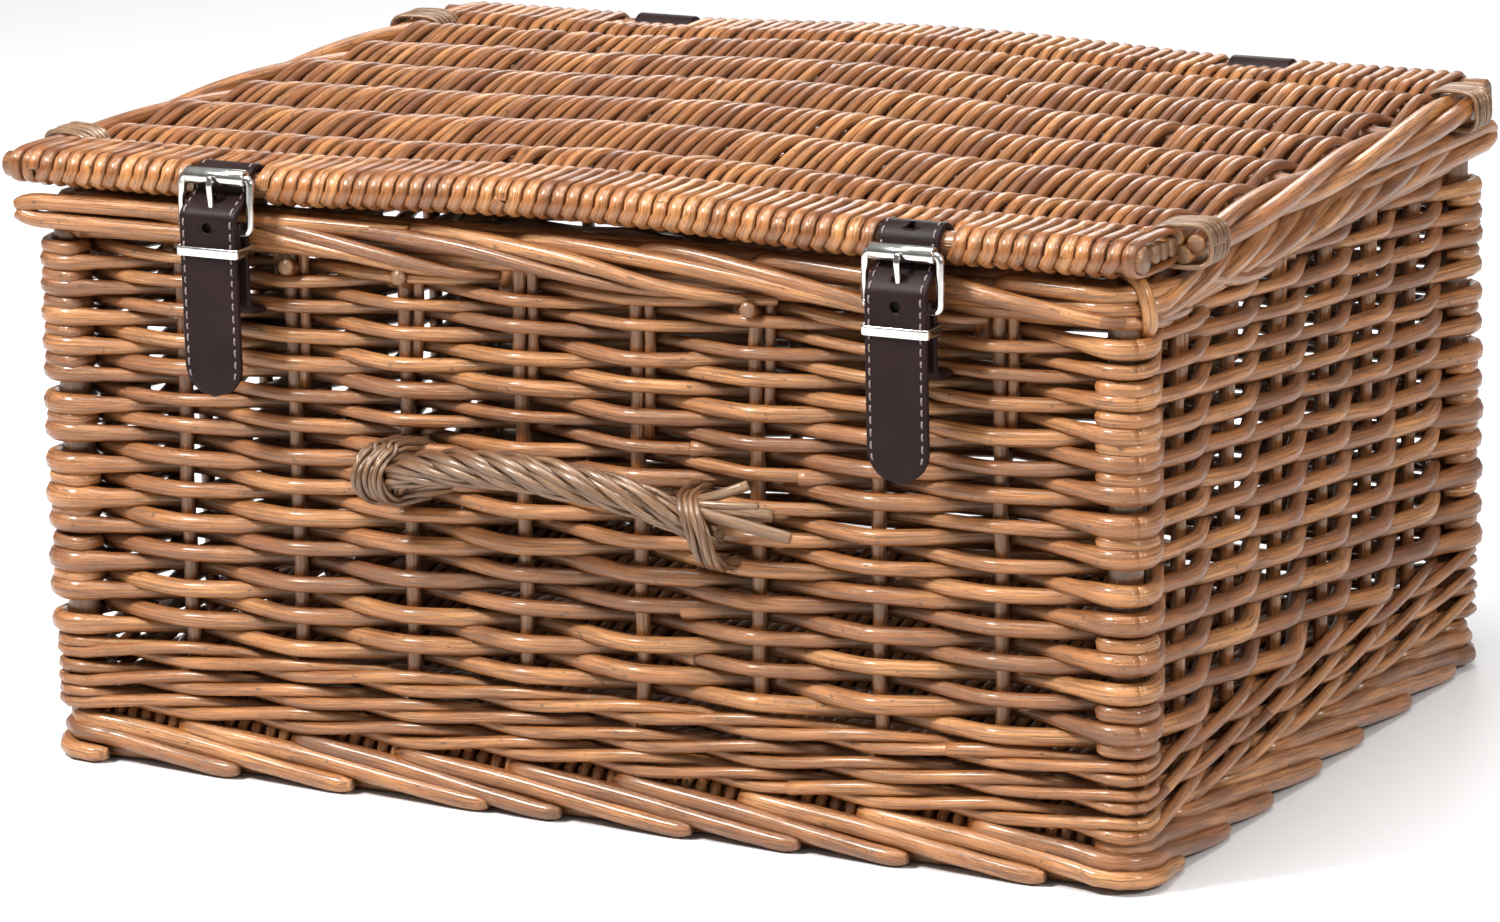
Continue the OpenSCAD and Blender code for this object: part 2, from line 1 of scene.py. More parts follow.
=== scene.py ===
"""The looks of a wicker picnic hamper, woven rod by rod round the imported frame.

Shapes are worked out in millimetres in the basket's own frame: X along the front, -Y the front,
the walls centred on Y = 0. A mesh is shifted and scaled to metres when it is made.
"""
import json
import math

import bpy
import numpy as np
from mathutils import Matrix, Vector


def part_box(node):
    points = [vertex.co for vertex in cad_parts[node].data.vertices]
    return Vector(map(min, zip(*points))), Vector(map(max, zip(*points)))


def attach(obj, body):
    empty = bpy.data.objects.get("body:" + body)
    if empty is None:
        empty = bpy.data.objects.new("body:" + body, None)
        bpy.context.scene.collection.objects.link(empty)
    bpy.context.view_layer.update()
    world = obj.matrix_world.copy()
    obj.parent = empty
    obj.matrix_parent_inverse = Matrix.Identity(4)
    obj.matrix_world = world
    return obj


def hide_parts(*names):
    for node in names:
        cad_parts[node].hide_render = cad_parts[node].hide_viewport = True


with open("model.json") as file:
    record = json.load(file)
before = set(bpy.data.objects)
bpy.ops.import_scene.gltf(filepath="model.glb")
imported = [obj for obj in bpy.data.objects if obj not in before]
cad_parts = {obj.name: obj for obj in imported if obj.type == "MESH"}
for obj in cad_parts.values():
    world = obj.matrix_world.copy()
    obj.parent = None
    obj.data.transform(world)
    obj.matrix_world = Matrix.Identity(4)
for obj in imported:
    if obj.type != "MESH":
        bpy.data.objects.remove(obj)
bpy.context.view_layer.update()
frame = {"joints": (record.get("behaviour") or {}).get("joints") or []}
rng = np.random.default_rng(20)
MM = 0.001


# ---------- sizes taken from the frame ----------

def box(node):
    lo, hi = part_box(node)
    return np.array(lo) / MM, np.array(hi) / MM


foot_lo, foot_hi = box("foot_border")
SHIFT = (foot_lo[1] + foot_hi[1]) / 2


def ybox(node):
    """A node's box in the basket's own frame."""
    lo, hi = box(node)
    return lo - [0, SHIFT, 0], hi - [0, SHIFT, 0]


def middle(node):
    lo, hi = ybox(node)
    return (lo + hi) / 2


FOOT_H = foot_hi[2]
WALL_Y = foot_hi[1] - SHIFT
UPSETT_TOP = ybox("upsett_band")[1][2]
WEAVE_TOP = ybox("weave_front")[1][2]
RIM_TOP = ybox("top_border_front")[1][2]
STAKE_X, STAKE_Y = middle("stakes_right")[0], middle("stakes_back")[1]
STAKE_R = ybox("stakes_right")[1][0] - STAKE_X
POST_R = ybox("post_front_right")[1][0] - STAKE_X
UPRIGHT_LO, UPRIGHT_HI = ybox("stakes_front")[0][2], ybox("stakes_front")[1][2]
LONG_STAKES, SHORT_STAKES = 8, 6
BARE_STAKE_R = 2.8
WALL_ROWS = 26
BAND_ROWS = 3
BORDER_RODS = 8
LID_LO, LID_HI = ybox("lid_weave")
LID_MID = (LID_LO[2] + LID_HI[2]) / 2
LID_X = LID_HI[0]
EDGE_ROD_R = (ybox("lid_front_rods")[1][2] - ybox("lid_front_rods")[0][2]) / 2
EDGE_Y = -ybox("lid_front_rods")[0][1] - EDGE_ROD_R
BUNDLE_ROD_R = 3.45
BUNDLE_Y = [EDGE_Y - 11.5, EDGE_Y - 18.5, EDGE_Y - 25.5]
LID_STICK_Y = np.linspace(ybox("lid_sticks")[0][1] + 3, ybox("lid_sticks")[1][1] - 3, 6)
BASE_STICK_Y = np.linspace(ybox("base_sticks")[0][1] + 3, ybox("base_sticks")[1][1] - 3, 7)
BASE_MID = middle("base_sticks")[2]
HINGE_Y, HINGE_Z = middle("hinge_rod")[1], middle("hinge_rod")[2]
HINGE_R = ybox("hinge_rod")[1][1] - HINGE_Y
STRAP_X = middle("lid_strap_right")[0]
STRAP_W = ybox("lid_strap_right")[1][0] - ybox("lid_strap_right")[0][0]
HINGE_X = middle("hinge_loop_right")[0]
HINGE_W = ybox("hinge_loop_right")[1][0] - ybox("hinge_loop_right")[0][0]
LEATHER_T = 2.4
BAND_GAP = 5


# ---------- swept rods ----------

def unit(v):
    return v / np.maximum(np.linalg.norm(v, axis=-1, keepdims=True), 1e-9)


def spline(points, step=5.0, ease=1.0):
    """A curve through the points, in any number of channels, sampled about every step mm.

    ease below 1 makes it straighter between the points and sharper at them.
    """
    p = np.asarray(points, float)
    p = np.vstack([2 * p[0] - p[1], p, 2 * p[-1] - p[-2]])
    out = []
    for a, b, c, d in zip(p, p[1:], p[2:], p[3:]):
        n = max(1, int(math.ceil(np.linalg.norm((c - b)[:3]) / step)))
        t = (np.arange(n) / n)[:, None]
        m0, m1 = ease * (c - a) / 2, ease * (d - b) / 2
        out.append(b + m0 * t + (3 * (c - b) - 2 * m0 - m1) * t ** 2 + (2 * (b - c) + m0 + m1) * t ** 3)
    out.append(p[-2:-1])
    return np.vstack(out)


def circle_section(sides):
    turn = np.arange(sides) * 2 * math.pi / sides
    return np.stack([np.cos(turn), np.sin(turn)], 1)


def slab_section(width, thickness, edge=0.8, across=6):
    """Outline of a flat strip with rounded edges."""
    w, t = width / 2, thickness / 2
    edge = min(edge, t * 0.98)
    corner = [(math.cos(a), math.sin(a)) for a in np.linspace(0, math.pi / 2, 4)]
    quarter = [(w - edge + edge * c, t - edge + edge * s) for c, s in corner]
    top = [(x, t) for x in np.linspace(w - edge, -(w - edge), across + 2)[1:-1]]
    half = quarter + top + [(-x, y) for x, y in reversed(quarter)]
    return np.array(half + [(-x, -y) for x, y in half])


class Strand:
    """Rings of one swept piece, with what its material needs to know."""

    def __init__(self, path, radius, wide=1.0, ref=(0, 0, 1), sides=8, tone=None, shade=0.0, section=None):
        path = np.asarray(path, float)
        n = len(path)
        tangent = unit(np.gradient(path, axis=0))
        ref = np.broadcast_to(np.asarray(ref, float), path.shape)
        a = unit(ref - (ref * tangent).sum(1, keepdims=True) * tangent)
        b = np.cross(tangent, a)
        section = circle_section(sides) if section is None else section
        radius = np.broadcast_to(np.asarray(radius, float), n)
        wide = np.broadcast_to(np.asarray(wide, float), n)
        sa = section[:, 0][None, :] * (radius * wide)[:, None]
        sb = section[:, 1][None, :] * radius[:, None]
        self.rings = path[:, None, :] + sa[..., None] * a[:, None, :] + sb[..., None] * b[:, None, :]
        run = np.concatenate([[0], np.cumsum(np.linalg.norm(np.diff(path, axis=0), axis=1))])
        offset = rng.uniform(0, 900)
        self.grain = np.stack([np.broadcast_to(run[:, None] + offset, sa.shape), sa, sb], -1)
        self.tone = rng.uniform() if tone is None else tone
        # shade is painted shade: how far the colour is darkened, ring by ring.
        self.shade = np.broadcast_to(np.asarray(shade, float), n)
        self.ends = (tangent[0], tangent[-1])
        self.mid_radius = radius


class Basketwork:
    """Collects strands and makes them one mesh."""

    def __init__(self):
        self.co, self.grain, self.tone, self.cut, self.shade = [], [], [], [], []
        self.quads, self.caps = [], []
        self.count = 0

    def put(self, strand, first=0, last=None, caps=(True, True)):
        last = len(strand.rings) - 1 if last is None else last
        rings, grain = strand.rings[first:last + 1], strand.grain[first:last + 1]
        shade = strand.shade[first:last + 1]
        n, m = rings.shape[:2]
        if n < 2:
            return
        cut = np.zeros((n, m))
        if caps[0]:
            rings, grain, shade, cut = self.rounded_end(rings, grain, shade, cut, 0, -strand.ends[0])
        if caps[1]:
            rings, grain, shade, cut = self.rounded_end(rings, grain, shade, cut, -1, strand.ends[1])
        n = len(rings)
        i = np.arange(n - 1)[:, None] * m + np.arange(m)[None, :]
        j = np.arange(n - 1)[:, None] * m + (np.arange(m)[None, :] + 1) % m
        self.quads.append(np.stack([i, j, j + m, i + m], -1).reshape(-1, 4) + self.count)
        self.caps.append(np.arange(m)[::-1] + self.count)
        self.caps.append(np.arange(m) + (n - 1) * m + self.count)
        self.co.append(rings.reshape(-1, 3))
        self.grain.append(grain.reshape(-1, 3))
        self.cut.append(cut.reshape(-1))
        self.tone.append(np.full(n * m, strand.tone))
        self.shade.append(np.repeat(shade, m))
        self.count += n * m

    @staticmethod
    def rounded_end(rings, grain, shade, cut, at, outward):
        """One smaller ring just past the end, so that the end is a bevelled cut."""
        ring = rings[at]
        middle_point = ring.mean(0)
        radius = np.linalg.norm(ring - middle_point, axis=1).min()
        small = middle_point + (ring - middle_point) * 0.78 + outward * radius * 0.22
        mark = np.ones((1, len(ring)))
        g = grain[at][None] * [1, 0.78, 0.78]
        if at == 0:
            return (np.concatenate([small[None], rings]), np.concatenate([g, grain]),
                    np.concatenate([shade[:1], shade]), np.concatenate([mark, cut]))
        return (np.concatenate([rings, small[None]]), np.concatenate([grain, g]),
                np.concatenate([shade, shade[-1:]]), np.concatenate([cut, mark]))

    def mesh(self, name):
        co = (np.concatenate(self.co) + [0, SHIFT, 0]) * MM
        quads = np.concatenate(self.quads)
        loops = np.concatenate([quads.ravel()] + self.caps)
        totals = np.concatenate([np.full(len(quads), 4), [len(c) for c in self.caps]]).astype(np.int32)
        starts = np.concatenate([[0], np.cumsum(totals)[:-1]]).astype(np.int32)
        mesh = bpy.data.meshes.new(name)
        mesh.vertices.add(len(co))
        mesh.vertices.foreach_set("co", co.ravel())
        mesh.loops.add(len(loops))
        mesh.loops.foreach_set("vertex_index", loops.astype(np.int32))
        mesh.polygons.add(len(totals))
        mesh.polygons.foreach_set("loop_start", starts)
        mesh.polygons.foreach_set("loop_total", totals)
        mesh.update(calc_edges=True)
        mesh.polygons.foreach_set("use_smooth", np.ones(len(totals), bool))
        self.attribute(mesh, "grain", "FLOAT_VECTOR", np.concatenate(self.grain).ravel())
        self.attribute(mesh, "tone", "FLOAT", np.concatenate(self.tone))
        self.attribute(mesh, "cut", "FLOAT", np.concatenate(self.cut))
        # The shade attribute carries the painted shade to the material.
        self.attribute(mesh, "shade", "FLOAT", np.concatenate(self.shade))
        return mesh

    @staticmethod
    def attribute(mesh, name, kind, values):
        layer = mesh.attributes.new(name, kind, "POINT")
        layer.data.foreach_set("vector" if kind == "FLOAT_VECTOR" else "value", values.astype(np.float32))


def piece(name, work, body, material, nodes=None):
    """A visible piece made of one Basketwork, which stands for the CAD node of its own name or for nodes."""
    obj = bpy.data.objects.new(name, work.mesh(name))
    bpy.context.scene.collection.objects.link(obj)
    obj.data.materials.append(material)
    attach(obj, body)
    nodes = (name,) if nodes is None else nodes
    if nodes:
        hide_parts(*nodes)
    return obj


# ---------- materials ----------

def node_tree(name):
    mat = bpy.data.materials.new(name)
    mat.use_nodes = True
    tree = mat.node_tree
    tree.nodes.clear()
    shader = tree.nodes.new("ShaderNodeBsdfPrincipled")
    out = tree.nodes.new("ShaderNodeOutputMaterial")
    tree.links.new(shader.outputs[0], out.inputs[0])
    return mat, tree, shader


def add(tree, kind, inputs=None, **settings):
    node = tree.nodes.new(kind)
    for key, value in settings.items():
        setattr(node, key, value)
    for key, value in (inputs or {}).items():
        if isinstance(value, bpy.types.NodeSocket):
            tree.links.new(value, node.inputs[key])
        else:
            node.inputs[key].default_value = value
    return node


def ramp(tree, factor, stops):
    node = add(tree, "ShaderNodeValToRGB", {0: factor})
    elements = node.color_ramp.elements
    while len(elements) < len(stops):
        elements.new(0.5)
    for element, (place, colour) in zip(elements, stops):
        element.position = place
        element.color = (*colour, 1)
    return node.outputs[0]


def math_node(tree, operation, a, b=0.0, c=0.0):
    return add(tree, "ShaderNodeMath", {0: a, 1: b, 2: c}, operation=operation).outputs[0]


def mix(tree, factor, a, b, blend="MIX"):
    node = add(tree, "ShaderNodeMix", {0: factor}, data_type="RGBA", blend_type=blend)
    for key, value in ((6, a), (7, b)):
        if isinstance(value, bpy.types.NodeSocket):
            tree.links.new(value, node.inputs[key])
        else:
            node.inputs[key].default_value = (*value, 1)
    return node.outputs[2]


def willow_material(name, stops, streak_and_shade_dark, fleck, end_colour, gloss=0.22, coat=0.35, bump=0.8, fine=1.0):
    """Varnished willow: each rod has its own tone, long grain streaks, blotches and dark cut ends, and
    painted shade darkens it as much as its shade attribute says.
    """
    mat, tree, shader = node_tree(name)
    grain = add(tree, "ShaderNodeAttribute", attribute_name="grain").outputs["Vector"]
    tone, cut, shade = [add(tree, "ShaderNodeAttribute", attribute_name=name).outputs["Fac"]
                        for name in ("tone", "cut", "shade")]
    long_grain = add(tree, "ShaderNodeVectorMath", {0: grain, 1: (0.02 * fine, 0.55 * fine, 0.55 * fine)},
                     operation="MULTIPLY").outputs[0]
    streaks = add(tree, "ShaderNodeTexNoise", {"Vector": long_grain, "Scale": 2.2, "Detail": 5.0,
                                               "Roughness": 0.62}).outputs["Fac"]
    patch = add(tree, "ShaderNodeVectorMath", {0: grain, 1: (0.035, 0.12, 0.12)},
                operation="MULTIPLY").outputs[0]
    blotches = add(tree, "ShaderNodeTexNoise", {"Vector": patch, "Scale": 1.0, "Detail": 3.0,
                                                "Roughness": 0.55}).outputs["Fac"]
    speck = add(tree, "ShaderNodeVectorMath", {0: grain, 1: (0.35, 0.5, 0.5)},
                operation="MULTIPLY").outputs[0]
    specks = add(tree, "ShaderNodeTexNoise", {"Vector": speck, "Scale": 1.0, "Detail": 2.0}).outputs["Fac"]
    level = math_node(tree, "MULTIPLY_ADD", tone, 0.42, -0.08)
    level = math_node(tree, "MULTIPLY_ADD", blotches, 0.85, level)
    colour = ramp(tree, level, stops)
    streak_amount = ramp(tree, streaks, [(0.45, (0, 0, 0)), (0.57, (1, 1, 1))])
    colour = mix(tree, math_node(tree, "MULTIPLY", streak_amount, 0.62), colour, streak_and_shade_dark)
    dots = ramp(tree, specks, [(0.66, (0, 0, 0)), (0.71, (1, 1, 1))])
    colour = mix(tree, math_node(tree, "MULTIPLY", dots, 0.8), colour, fleck)
    # Painted shade: the shade attribute darkens the colour towards the dark streak colour where parts lie
    # deep in the weave.
    colour = mix(tree, math_node(tree, "MULTIPLY", shade, 0.85), colour, streak_and_shade_dark)
    colour = mix(tree, cut, colour, end_colour)
    tree.links.new(colour, shader.inputs["Base Color"])
    rough = math_node(tree, "MULTIPLY_ADD", streaks, 0.28, gloss)
    tree.links.new(rough, shader.inputs["Roughness"])
    height = math_node(tree, "MULTIPLY_ADD", blotches, 0.8, streaks)
    relief = add(tree, "ShaderNodeBump", {"Strength": bump, "Distance": 0.0008, "Height": height})
    tree.links.new(relief.outputs[0], shader.inputs["Normal"])
    shader.inputs["Coat Weight"].default_value = coat
    shader.inputs["Coat Roughness"].default_value = 0.17
    shader.inputs["IOR"].default_value = 1.5
    shader.inputs["Specular IOR Level"].default_value = 1.0
    shader.inputs["Specular Tint"].default_value = (1.0, 0.79, 0.56, 1)
    return mat


def leather_material():
    mat, tree, shader = node_tree("leather")
    place = add(tree, "ShaderNodeTexCoord").outputs["Object"]
    pores = add(tree, "ShaderNodeTexVoronoi", {"Vector": place, "Scale": 1500.0}).outputs["Distance"]
    wear = add(tree, "ShaderNodeTexNoise", {"Vector": place, "Scale": 60.0, "Detail": 4.0}).outputs["Fac"]
    colour = ramp(tree, wear, [(0.3, (0.0095, 0.0040, 0.0040)), (0.7, (0.0175, 0.0080, 0.0076))])
    tree.links.new(colour, shader.inputs["Base Color"])
    tree.links.new(math_node(tree, "MULTIPLY_ADD", wear, 0.2, 0.36), shader.inputs["Roughness"])
    shader.inputs["Specular IOR Level"].default_value = 0.12
    relief = add(tree, "ShaderNodeBump", {"Strength": 0.25, "Distance": 0.0002, "Height": pores})
    tree.links.new(relief.outputs[0], shader.inputs["Normal"])
    return mat


def thread_material():
    mat, tree, shader = node_tree("thread")
    place = add(tree, "ShaderNodeTexCoord").outputs["Object"]
    twist = add(tree, "ShaderNodeTexNoise", {"Vector": place, "Scale": 900.0}).outputs["Fac"]
    colour = ramp(tree, twist, [(0.3, (0.13, 0.09, 0.08)), (0.7, (0.25, 0.19, 0.17))])
    tree.links.new(colour, shader.inputs["Base Color"])
    shader.inputs["Roughness"].default_value = 0.6
    return mat


def nickel_material():
    mat, tree, shader = node_tree("nickel")
    place = add(tree, "ShaderNodeTexCoord").outputs["Object"]
    marks = add(tree, "ShaderNodeTexNoise", {"Vector": place, "Scale": 220.0, "Detail": 5.0}).outputs["Fac"]
    colour = ramp(tree, marks, [(0.3, (0.52, 0.50, 0.47)), (0.7, (0.72, 0.71, 0.68))])
    tree.links.new(colour, shader.inputs["Base Color"])
    tree.links.new(math_node(tree, "MULTIPLY_ADD", marks, 0.16, 0.07), shader.inputs["Roughness"])
    shader.inputs["Metallic"].default_value = 1.0
    return mat


WILLOW = willow_material(
    "willow",
    [(0.12, (0.098, 0.026, 0.008)), (0.38, (0.205, 0.063, 0.016)), (0.60, (0.315, 0.112, 0.029)),
     (0.86, (0.470, 0.203, 0.064))],
    (0.045, 0.012, 0.004), (0.022, 0.009, 0.006), (0.150, 0.065, 0.028))
WILLOW_DARK = willow_material(
    "willow_dark",
    [(0.12, (0.068, 0.019, 0.008)), (0.40, (0.135, 0.043, 0.014)), (0.66, (0.210, 0.075, 0.024)),
     (0.90, (0.300, 0.125, 0.045))],
    (0.036, 0.011, 0.005), (0.020, 0.009, 0.006), (0.120, 0.050, 0.022))
WILLOW_PALE = willow_material(
    "willow_pale",
    [(0.12, (0.050, 0.018, 0.008)), (0.40, (0.098, 0.040, 0.017)), (0.66, (0.160, 0.074, 0.032)),
     (0.90, (0.260, 0.140, 0.068))],
    (0.040, 0.015, 0.008), (0.025, 0.011, 0.007), (0.180, 0.095, 0.045), gloss=0.24, coat=0.5, fine=1.6)
LEATHER = leather_material()
THREAD = thread_material()
NICKEL = nickel_material()


# ---------- the ring of uprights ----------

FRONT, RIGHT, BACK, LEFT = range(4)
NORMALS = {FRONT: (0, -1), RIGHT: (1, 0), BACK: (0, 1), LEFT: (-1, 0)}


def ring_of_uprights():
    """Posts and stakes in order round the basket, from the front left post: centre, normals, radius, wall."""
    corners = [(-1, -1), (1, -1), (1, 1), (-1, 1)]
    ring = []
    for wall in (FRONT, RIGHT, BACK, LEFT):
        a = np.array(corners[wall]) * [STAKE_X, STAKE_Y]
        b = np.array(corners[(wall + 1) % 4]) * [STAKE_X, STAKE_Y]
        before, after = np.array(NORMALS[(wall - 1) % 4]), np.array(NORMALS[wall])
        ring.append((a, before, after, POST_R, wall, True))
        count = LONG_STAKES if wall in (FRONT, BACK) else SHORT_STAKES
        for i in range(count):
            ring.append((a + (b - a) * (i + 1) / (count + 1), after, after, STAKE_R, wall, False))
    return ring


UPRIGHTS = ring_of_uprights()
COUNT = len(UPRIGHTS)
WALL_STARTS = [i for i, u in enumerate(UPRIGHTS) if u[5]] + [COUNT]


def wall_at(u):
    """Which wall a place counted in uprights is on."""
    return int(np.searchsorted(WALL_STARTS, u % COUNT, side="right")) - 1


def ring_path(side_of, rod_r, z_of, tight=0.92):
    """Control points of a rod woven round the ring: side_of(i) is 1 outside and -1 inside upright i.

    Each row is x, y, z and the place counted in uprights, and the ring is gone round once and a bit.
    """
    points = []
    for i in range(-3, COUNT + 4):
        centre, before, after, r, wall, is_post = UPRIGHTS[i % COUNT]
        side = side_of(i)
        bow = 0 if is_post or wall in (FRONT, BACK) else 0.7
        reach = (r if is_post else BARE_STAKE_R) + rod_r * tight + bow
        z = z_of(i)
        if is_post and side > 0:
            diagonal = (before + after) / math.sqrt(2)
            for at, p in ((-0.16, before * reach - after * 3.2), (0, diagonal * reach * 1.04),
                          (0.16, after * reach - before * 3.2)):
                points.append([*(centre + p), z, i + at])
        elif is_post:
            points.append([*(centre - (before + after) / math.sqrt(2) * reach), z, i])
        else:
            points.append([*(centre + after * side * reach), z, i])
    return np.array(points)


def cut_by_wall(strand, places, works, caps):
    """Puts a strand into the work of each wall it runs along, split at the corners."""
    walls = np.array([wall_at((places[k] + places[k + 1]) / 2) for k in range(len(places) - 1)])
    start = 0
    for k in range(1, len(walls) + 1):
        if k == len(walls) or walls[k] != walls[start]:
            works[walls[start]].put(strand, start, k, (caps[0] and start == 0, caps[1] and k == len(walls)))
            start = k


# ---------- walls ----------

def row_levels(rows):
    """Middle height and radius of each row: the rods get thinner towards the top."""
    pitch = np.linspace(1.13, 0.87, rows)
    pitch *= (WEAVE_TOP - UPSETT_TOP) / pitch.sum()
    top = UPSETT_TOP + np.cumsum(pitch)
    return top - pitch / 2, np.linspace(3.35, 2.6, rows)


def woven_walls():
    """Plain weave: each row goes outside one upright and inside the next, and its rods end inside."""
    works = [Basketwork() for _ in range(4)]
    levels, radii = row_levels(WALL_ROWS)
    slow = np.interp(np.arange(COUNT), np.linspace(0, COUNT, 12), rng.normal(0, 0.9, 12), period=COUNT)
    for row, (level, rod_r) in enumerate(zip(levels, radii)):
        lift = rng.normal(0, 0.65, COUNT)
        drift = slow * math.sin(math.pi * (level - UPSETT_TOP) / (WEAVE_TOP - UPSETT_TOP))

        def side_of(i, row=row):
            return 1 if (i + row) % 2 == 0 else -1

        def z_of(i, level=level, lift=lift, drift=drift):
            return level + lift[i % COUNT] + drift[i % COUNT]

        path = spline(ring_path(side_of, rod_r, z_of), 4.0, 0.62)
        places = path[:, 3]
        start = -2.4 + rng.uniform(0, 2)
        start -= (int(round(start)) + row + 1) % 2
        first = start
        while first < start + COUNT - 1:
            last = min(first + int(rng.integers(4, 8)) * 2, start + COUNT)
            if start + COUNT - last < 4:
                last = start + COUNT
            keep = (places >= first - 0.32) & (places <= last + 0.32)
            weave_rod(works, path[keep].copy(), rod_r)
            first = last
        for i, up in enumerate(UPRIGHTS):
            if up[5] and side_of(i) < 0 and rng.uniform() < 0.62:
                wrap_post(works[FRONT if up[0][1] < 0 else BACK], up, level + rng.normal(0, 0.3))
    return works


def weave_rod(works, p, rod_r):
    """One rod of a row, thicker at its butt, a little flattened where it goes round a post."""
    t = np.linspace(0, 1, len(p))
    if rng.uniform() < 0.5:
        t = 1 - t
    radius = rod_r * (1.07 - 0.2 * t) + 0.1 * np.sin(t * 40 + rng.uniform(0, 6)) + rng.normal(0, 0.14)
    unseen = np.clip((p[:, 1] + 100) / 200, 0, 1)
    short_wall = np.clip((np.abs(p[:, 0]) - STAKE_X + 25) / 15, 0, 1)
    radius *= 1 + np.maximum(0.16 * unseen, 0.12 * short_wall)
    p[:, 2] += rng.normal(0, 0.25) + 0.6 * (t - 0.5)
    # Painted shade: the rod is darker where it passes inside the line of stakes.
    deep = np.maximum(np.abs(p[:, 0]) - STAKE_X, np.abs(p[:, 1]) - STAKE_Y)
    shade = np.clip(0.15 - deep / 7, 0, 0.9)
    at_post = np.clip(1 - np.hypot(np.abs(p[:, 0]) - STAKE_X, np.abs(p[:, 1]) - STAKE_Y) / 16, 0, 1)
    strand = Strand(p[:, :3], radius, wide=1 + 0.3 * np.minimum(1, at_post * 2), sides=9, shade=shade)
    cut_by_wall(strand, p[:, 3], works, (True, True))


def wrap_post(work, upright, z):
    """A short rod that fills the row where the weavers pass inside a corner post."""
    centre, before, after, r, _, _ = upright
    reach = r + 2.5
    diagonal = (before + after) / math.sqrt(2)
    flat = [before * 1.5 - after * (reach - 1.0), before * (reach - 1.6) - after * (reach - 3.0),
            before * reach - after * 2, diagonal * reach * 1.05, after * reach - before * 2,
            after * (reach - 1.6) - before * (reach - 3.0), after * 1.5 - before * (reach - 1.0)]
    points = [[*(centre + p), z + 0.4 * math.sin(k)] for k, p in enumerate(flat)]
    work.put(Strand(spline(points, 2.5), 2.45 + rng.normal(0, 0.15), wide=1.25, sides=9))


def uprights_work(members):
    """Bare stakes or posts, a little crooked. A stake has a thinner border rod pushed in beside its top."""
    work = Basketwork()
    for up in members:
        z0 = FOOT_H - 5 if up[5] else UPRIGHT_LO
        z = np.linspace(z0, UPRIGHT_HI - 6, 14)
        bend = rng.normal(0, 0.25, (14, 2))
        bend[[0, -1]] = 0
        path = np.column_stack([up[0][0] + bend[:, 0], up[0][1] + bend[:, 1], z])
        radius = up[3] * 0.985 if up[5] else BARE_STAKE_R
        # Painted shade: each upright is darkened a little along its whole length.
        work.put(Strand(spline(path, 9), radius, ref=(1, 0, 0), sides=14 if up[5] else 10,
                        tone=rng.uniform(0.0, 0.5), shade=0.12))
        if not up[5]:
            along = np.array([-up[2][1], up[2][0]]) * (BARE_STAKE_R + 2.0 + rng.uniform(0, 1.2))
            low = WEAVE_TOP - rng.uniform(24, 55)
            beside = [[*(up[0] + along * 0.8), low], [*(up[0] + along), (low + WEAVE_TOP) / 2],
                      [*(up[0] + along), RIM_TOP - 7]]
            work.put(Strand(spline(beside, 9), 2.1, ref=(1, 0, 0), sides=9, tone=rng.uniform(0.1, 0.6)))
    return work


def fine_band():
    """Three-rod waling: each rod goes outside two uprights and inside one."""
    works = [Basketwork() for _ in range(4)]
    pitch = (UPSETT_TOP - FOOT_H) / BAND_ROWS
    for row in range(BAND_ROWS):
        for j in range(3):
            level = FOOT_H + pitch * (row + 0.5)
            lift = rng.normal(0, 0.35, COUNT)
            phase = j + row

            def side_of(i, phase=phase):
                return -1 if (i + phase) % 3 == 0 else 1

            def z_of(i, phase=phase, level=level, lift=lift):
                return level + (0, -2.4, 2.4)[(i + phase) % 3] + lift[i % COUNT]

            path = spline(ring_path(side_of, 2.3, z_of, tight=1.0), 5, 0.8)
            places = path[:, 3]
            first = rng.uniform(-2, 0)
            end = first + COUNT
            while first < end - 1:
                last = min(first + rng.uniform(7, 13), end)
                if end - last < 3:
                    last = end
                keep = (places >= first - 0.25) & (places <= last + 0.25)
                p = path[keep].copy()
                p[:, 2] += rng.normal(0, 0.2)
                t = np.linspace(0, 1, len(p))
                strand = Strand(p[:, :3], 2.5 - 0.35 * t + rng.normal(0, 0.08), sides=7)
                cut_by_wall(strand, p[:, 3], works, (True, True))
                first = last
    joined = Basketwork()
    for work in works:
        for name in ("co", "grain", "tone", "cut", "shade"):
            getattr(joined, name).extend(getattr(work, name))
        joined.quads.extend(q + joined.count for q in work.quads)
        joined.caps.extend(c + joined.count for c in work.caps)
        joined.count += work.count
    return joined


# ---------- round the basket on a rounded rectangle ----------

ROUND = 8.0
STRAIGHT = [2 * (STAKE_X - ROUND), 2 * (STAKE_Y - ROUND)] * 2
QUARTER = ROUND * math.pi / 2
PERIMETER = sum(STRAIGHT) + 4 * QUARTER
CORNERS = [(-1, -1), (1, -1), (1, 1), (-1, 1)]


def around(s, out, z):
    """Points at length s round the line of stakes, out mm outside it, from the front left corner's end."""
    s = np.atleast_1d(np.asarray(s, float)) % PERIMETER
    out = np.broadcast_to(out, s.shape)
    z = np.broadcast_to(z, s.shape)
    xy = np.zeros((len(s), 2))
    base = 0.0
    for wall in range(4):
        normal = np.array(NORMALS[wall], float)
        along = np.array([-normal[1], normal[0]])
        here = (s >= base) & (s < base + STRAIGHT[wall])
        corner = np.array(CORNERS[wall]) * [STAKE_X - ROUND, STAKE_Y - ROUND]
        xy[here] = corner + along * (s[here] - base)[:, None] + normal * (ROUND + out[here])[:, None]
        base += STRAIGHT[wall]
        here = (s >= base) & (s <= base + QUARTER)
        corner = np.array(CORNERS[(wall + 1) % 4]) * [STAKE_X - ROUND, STAKE_Y - ROUND]
        turn = ((s[here] - base) / ROUND)[:, None]
        xy[here] = corner + (normal * np.cos(turn) + along * np.sin(turn)) * (ROUND + out[here])[:, None]
        base += QUARTER
    return np.column_stack([xy, z])


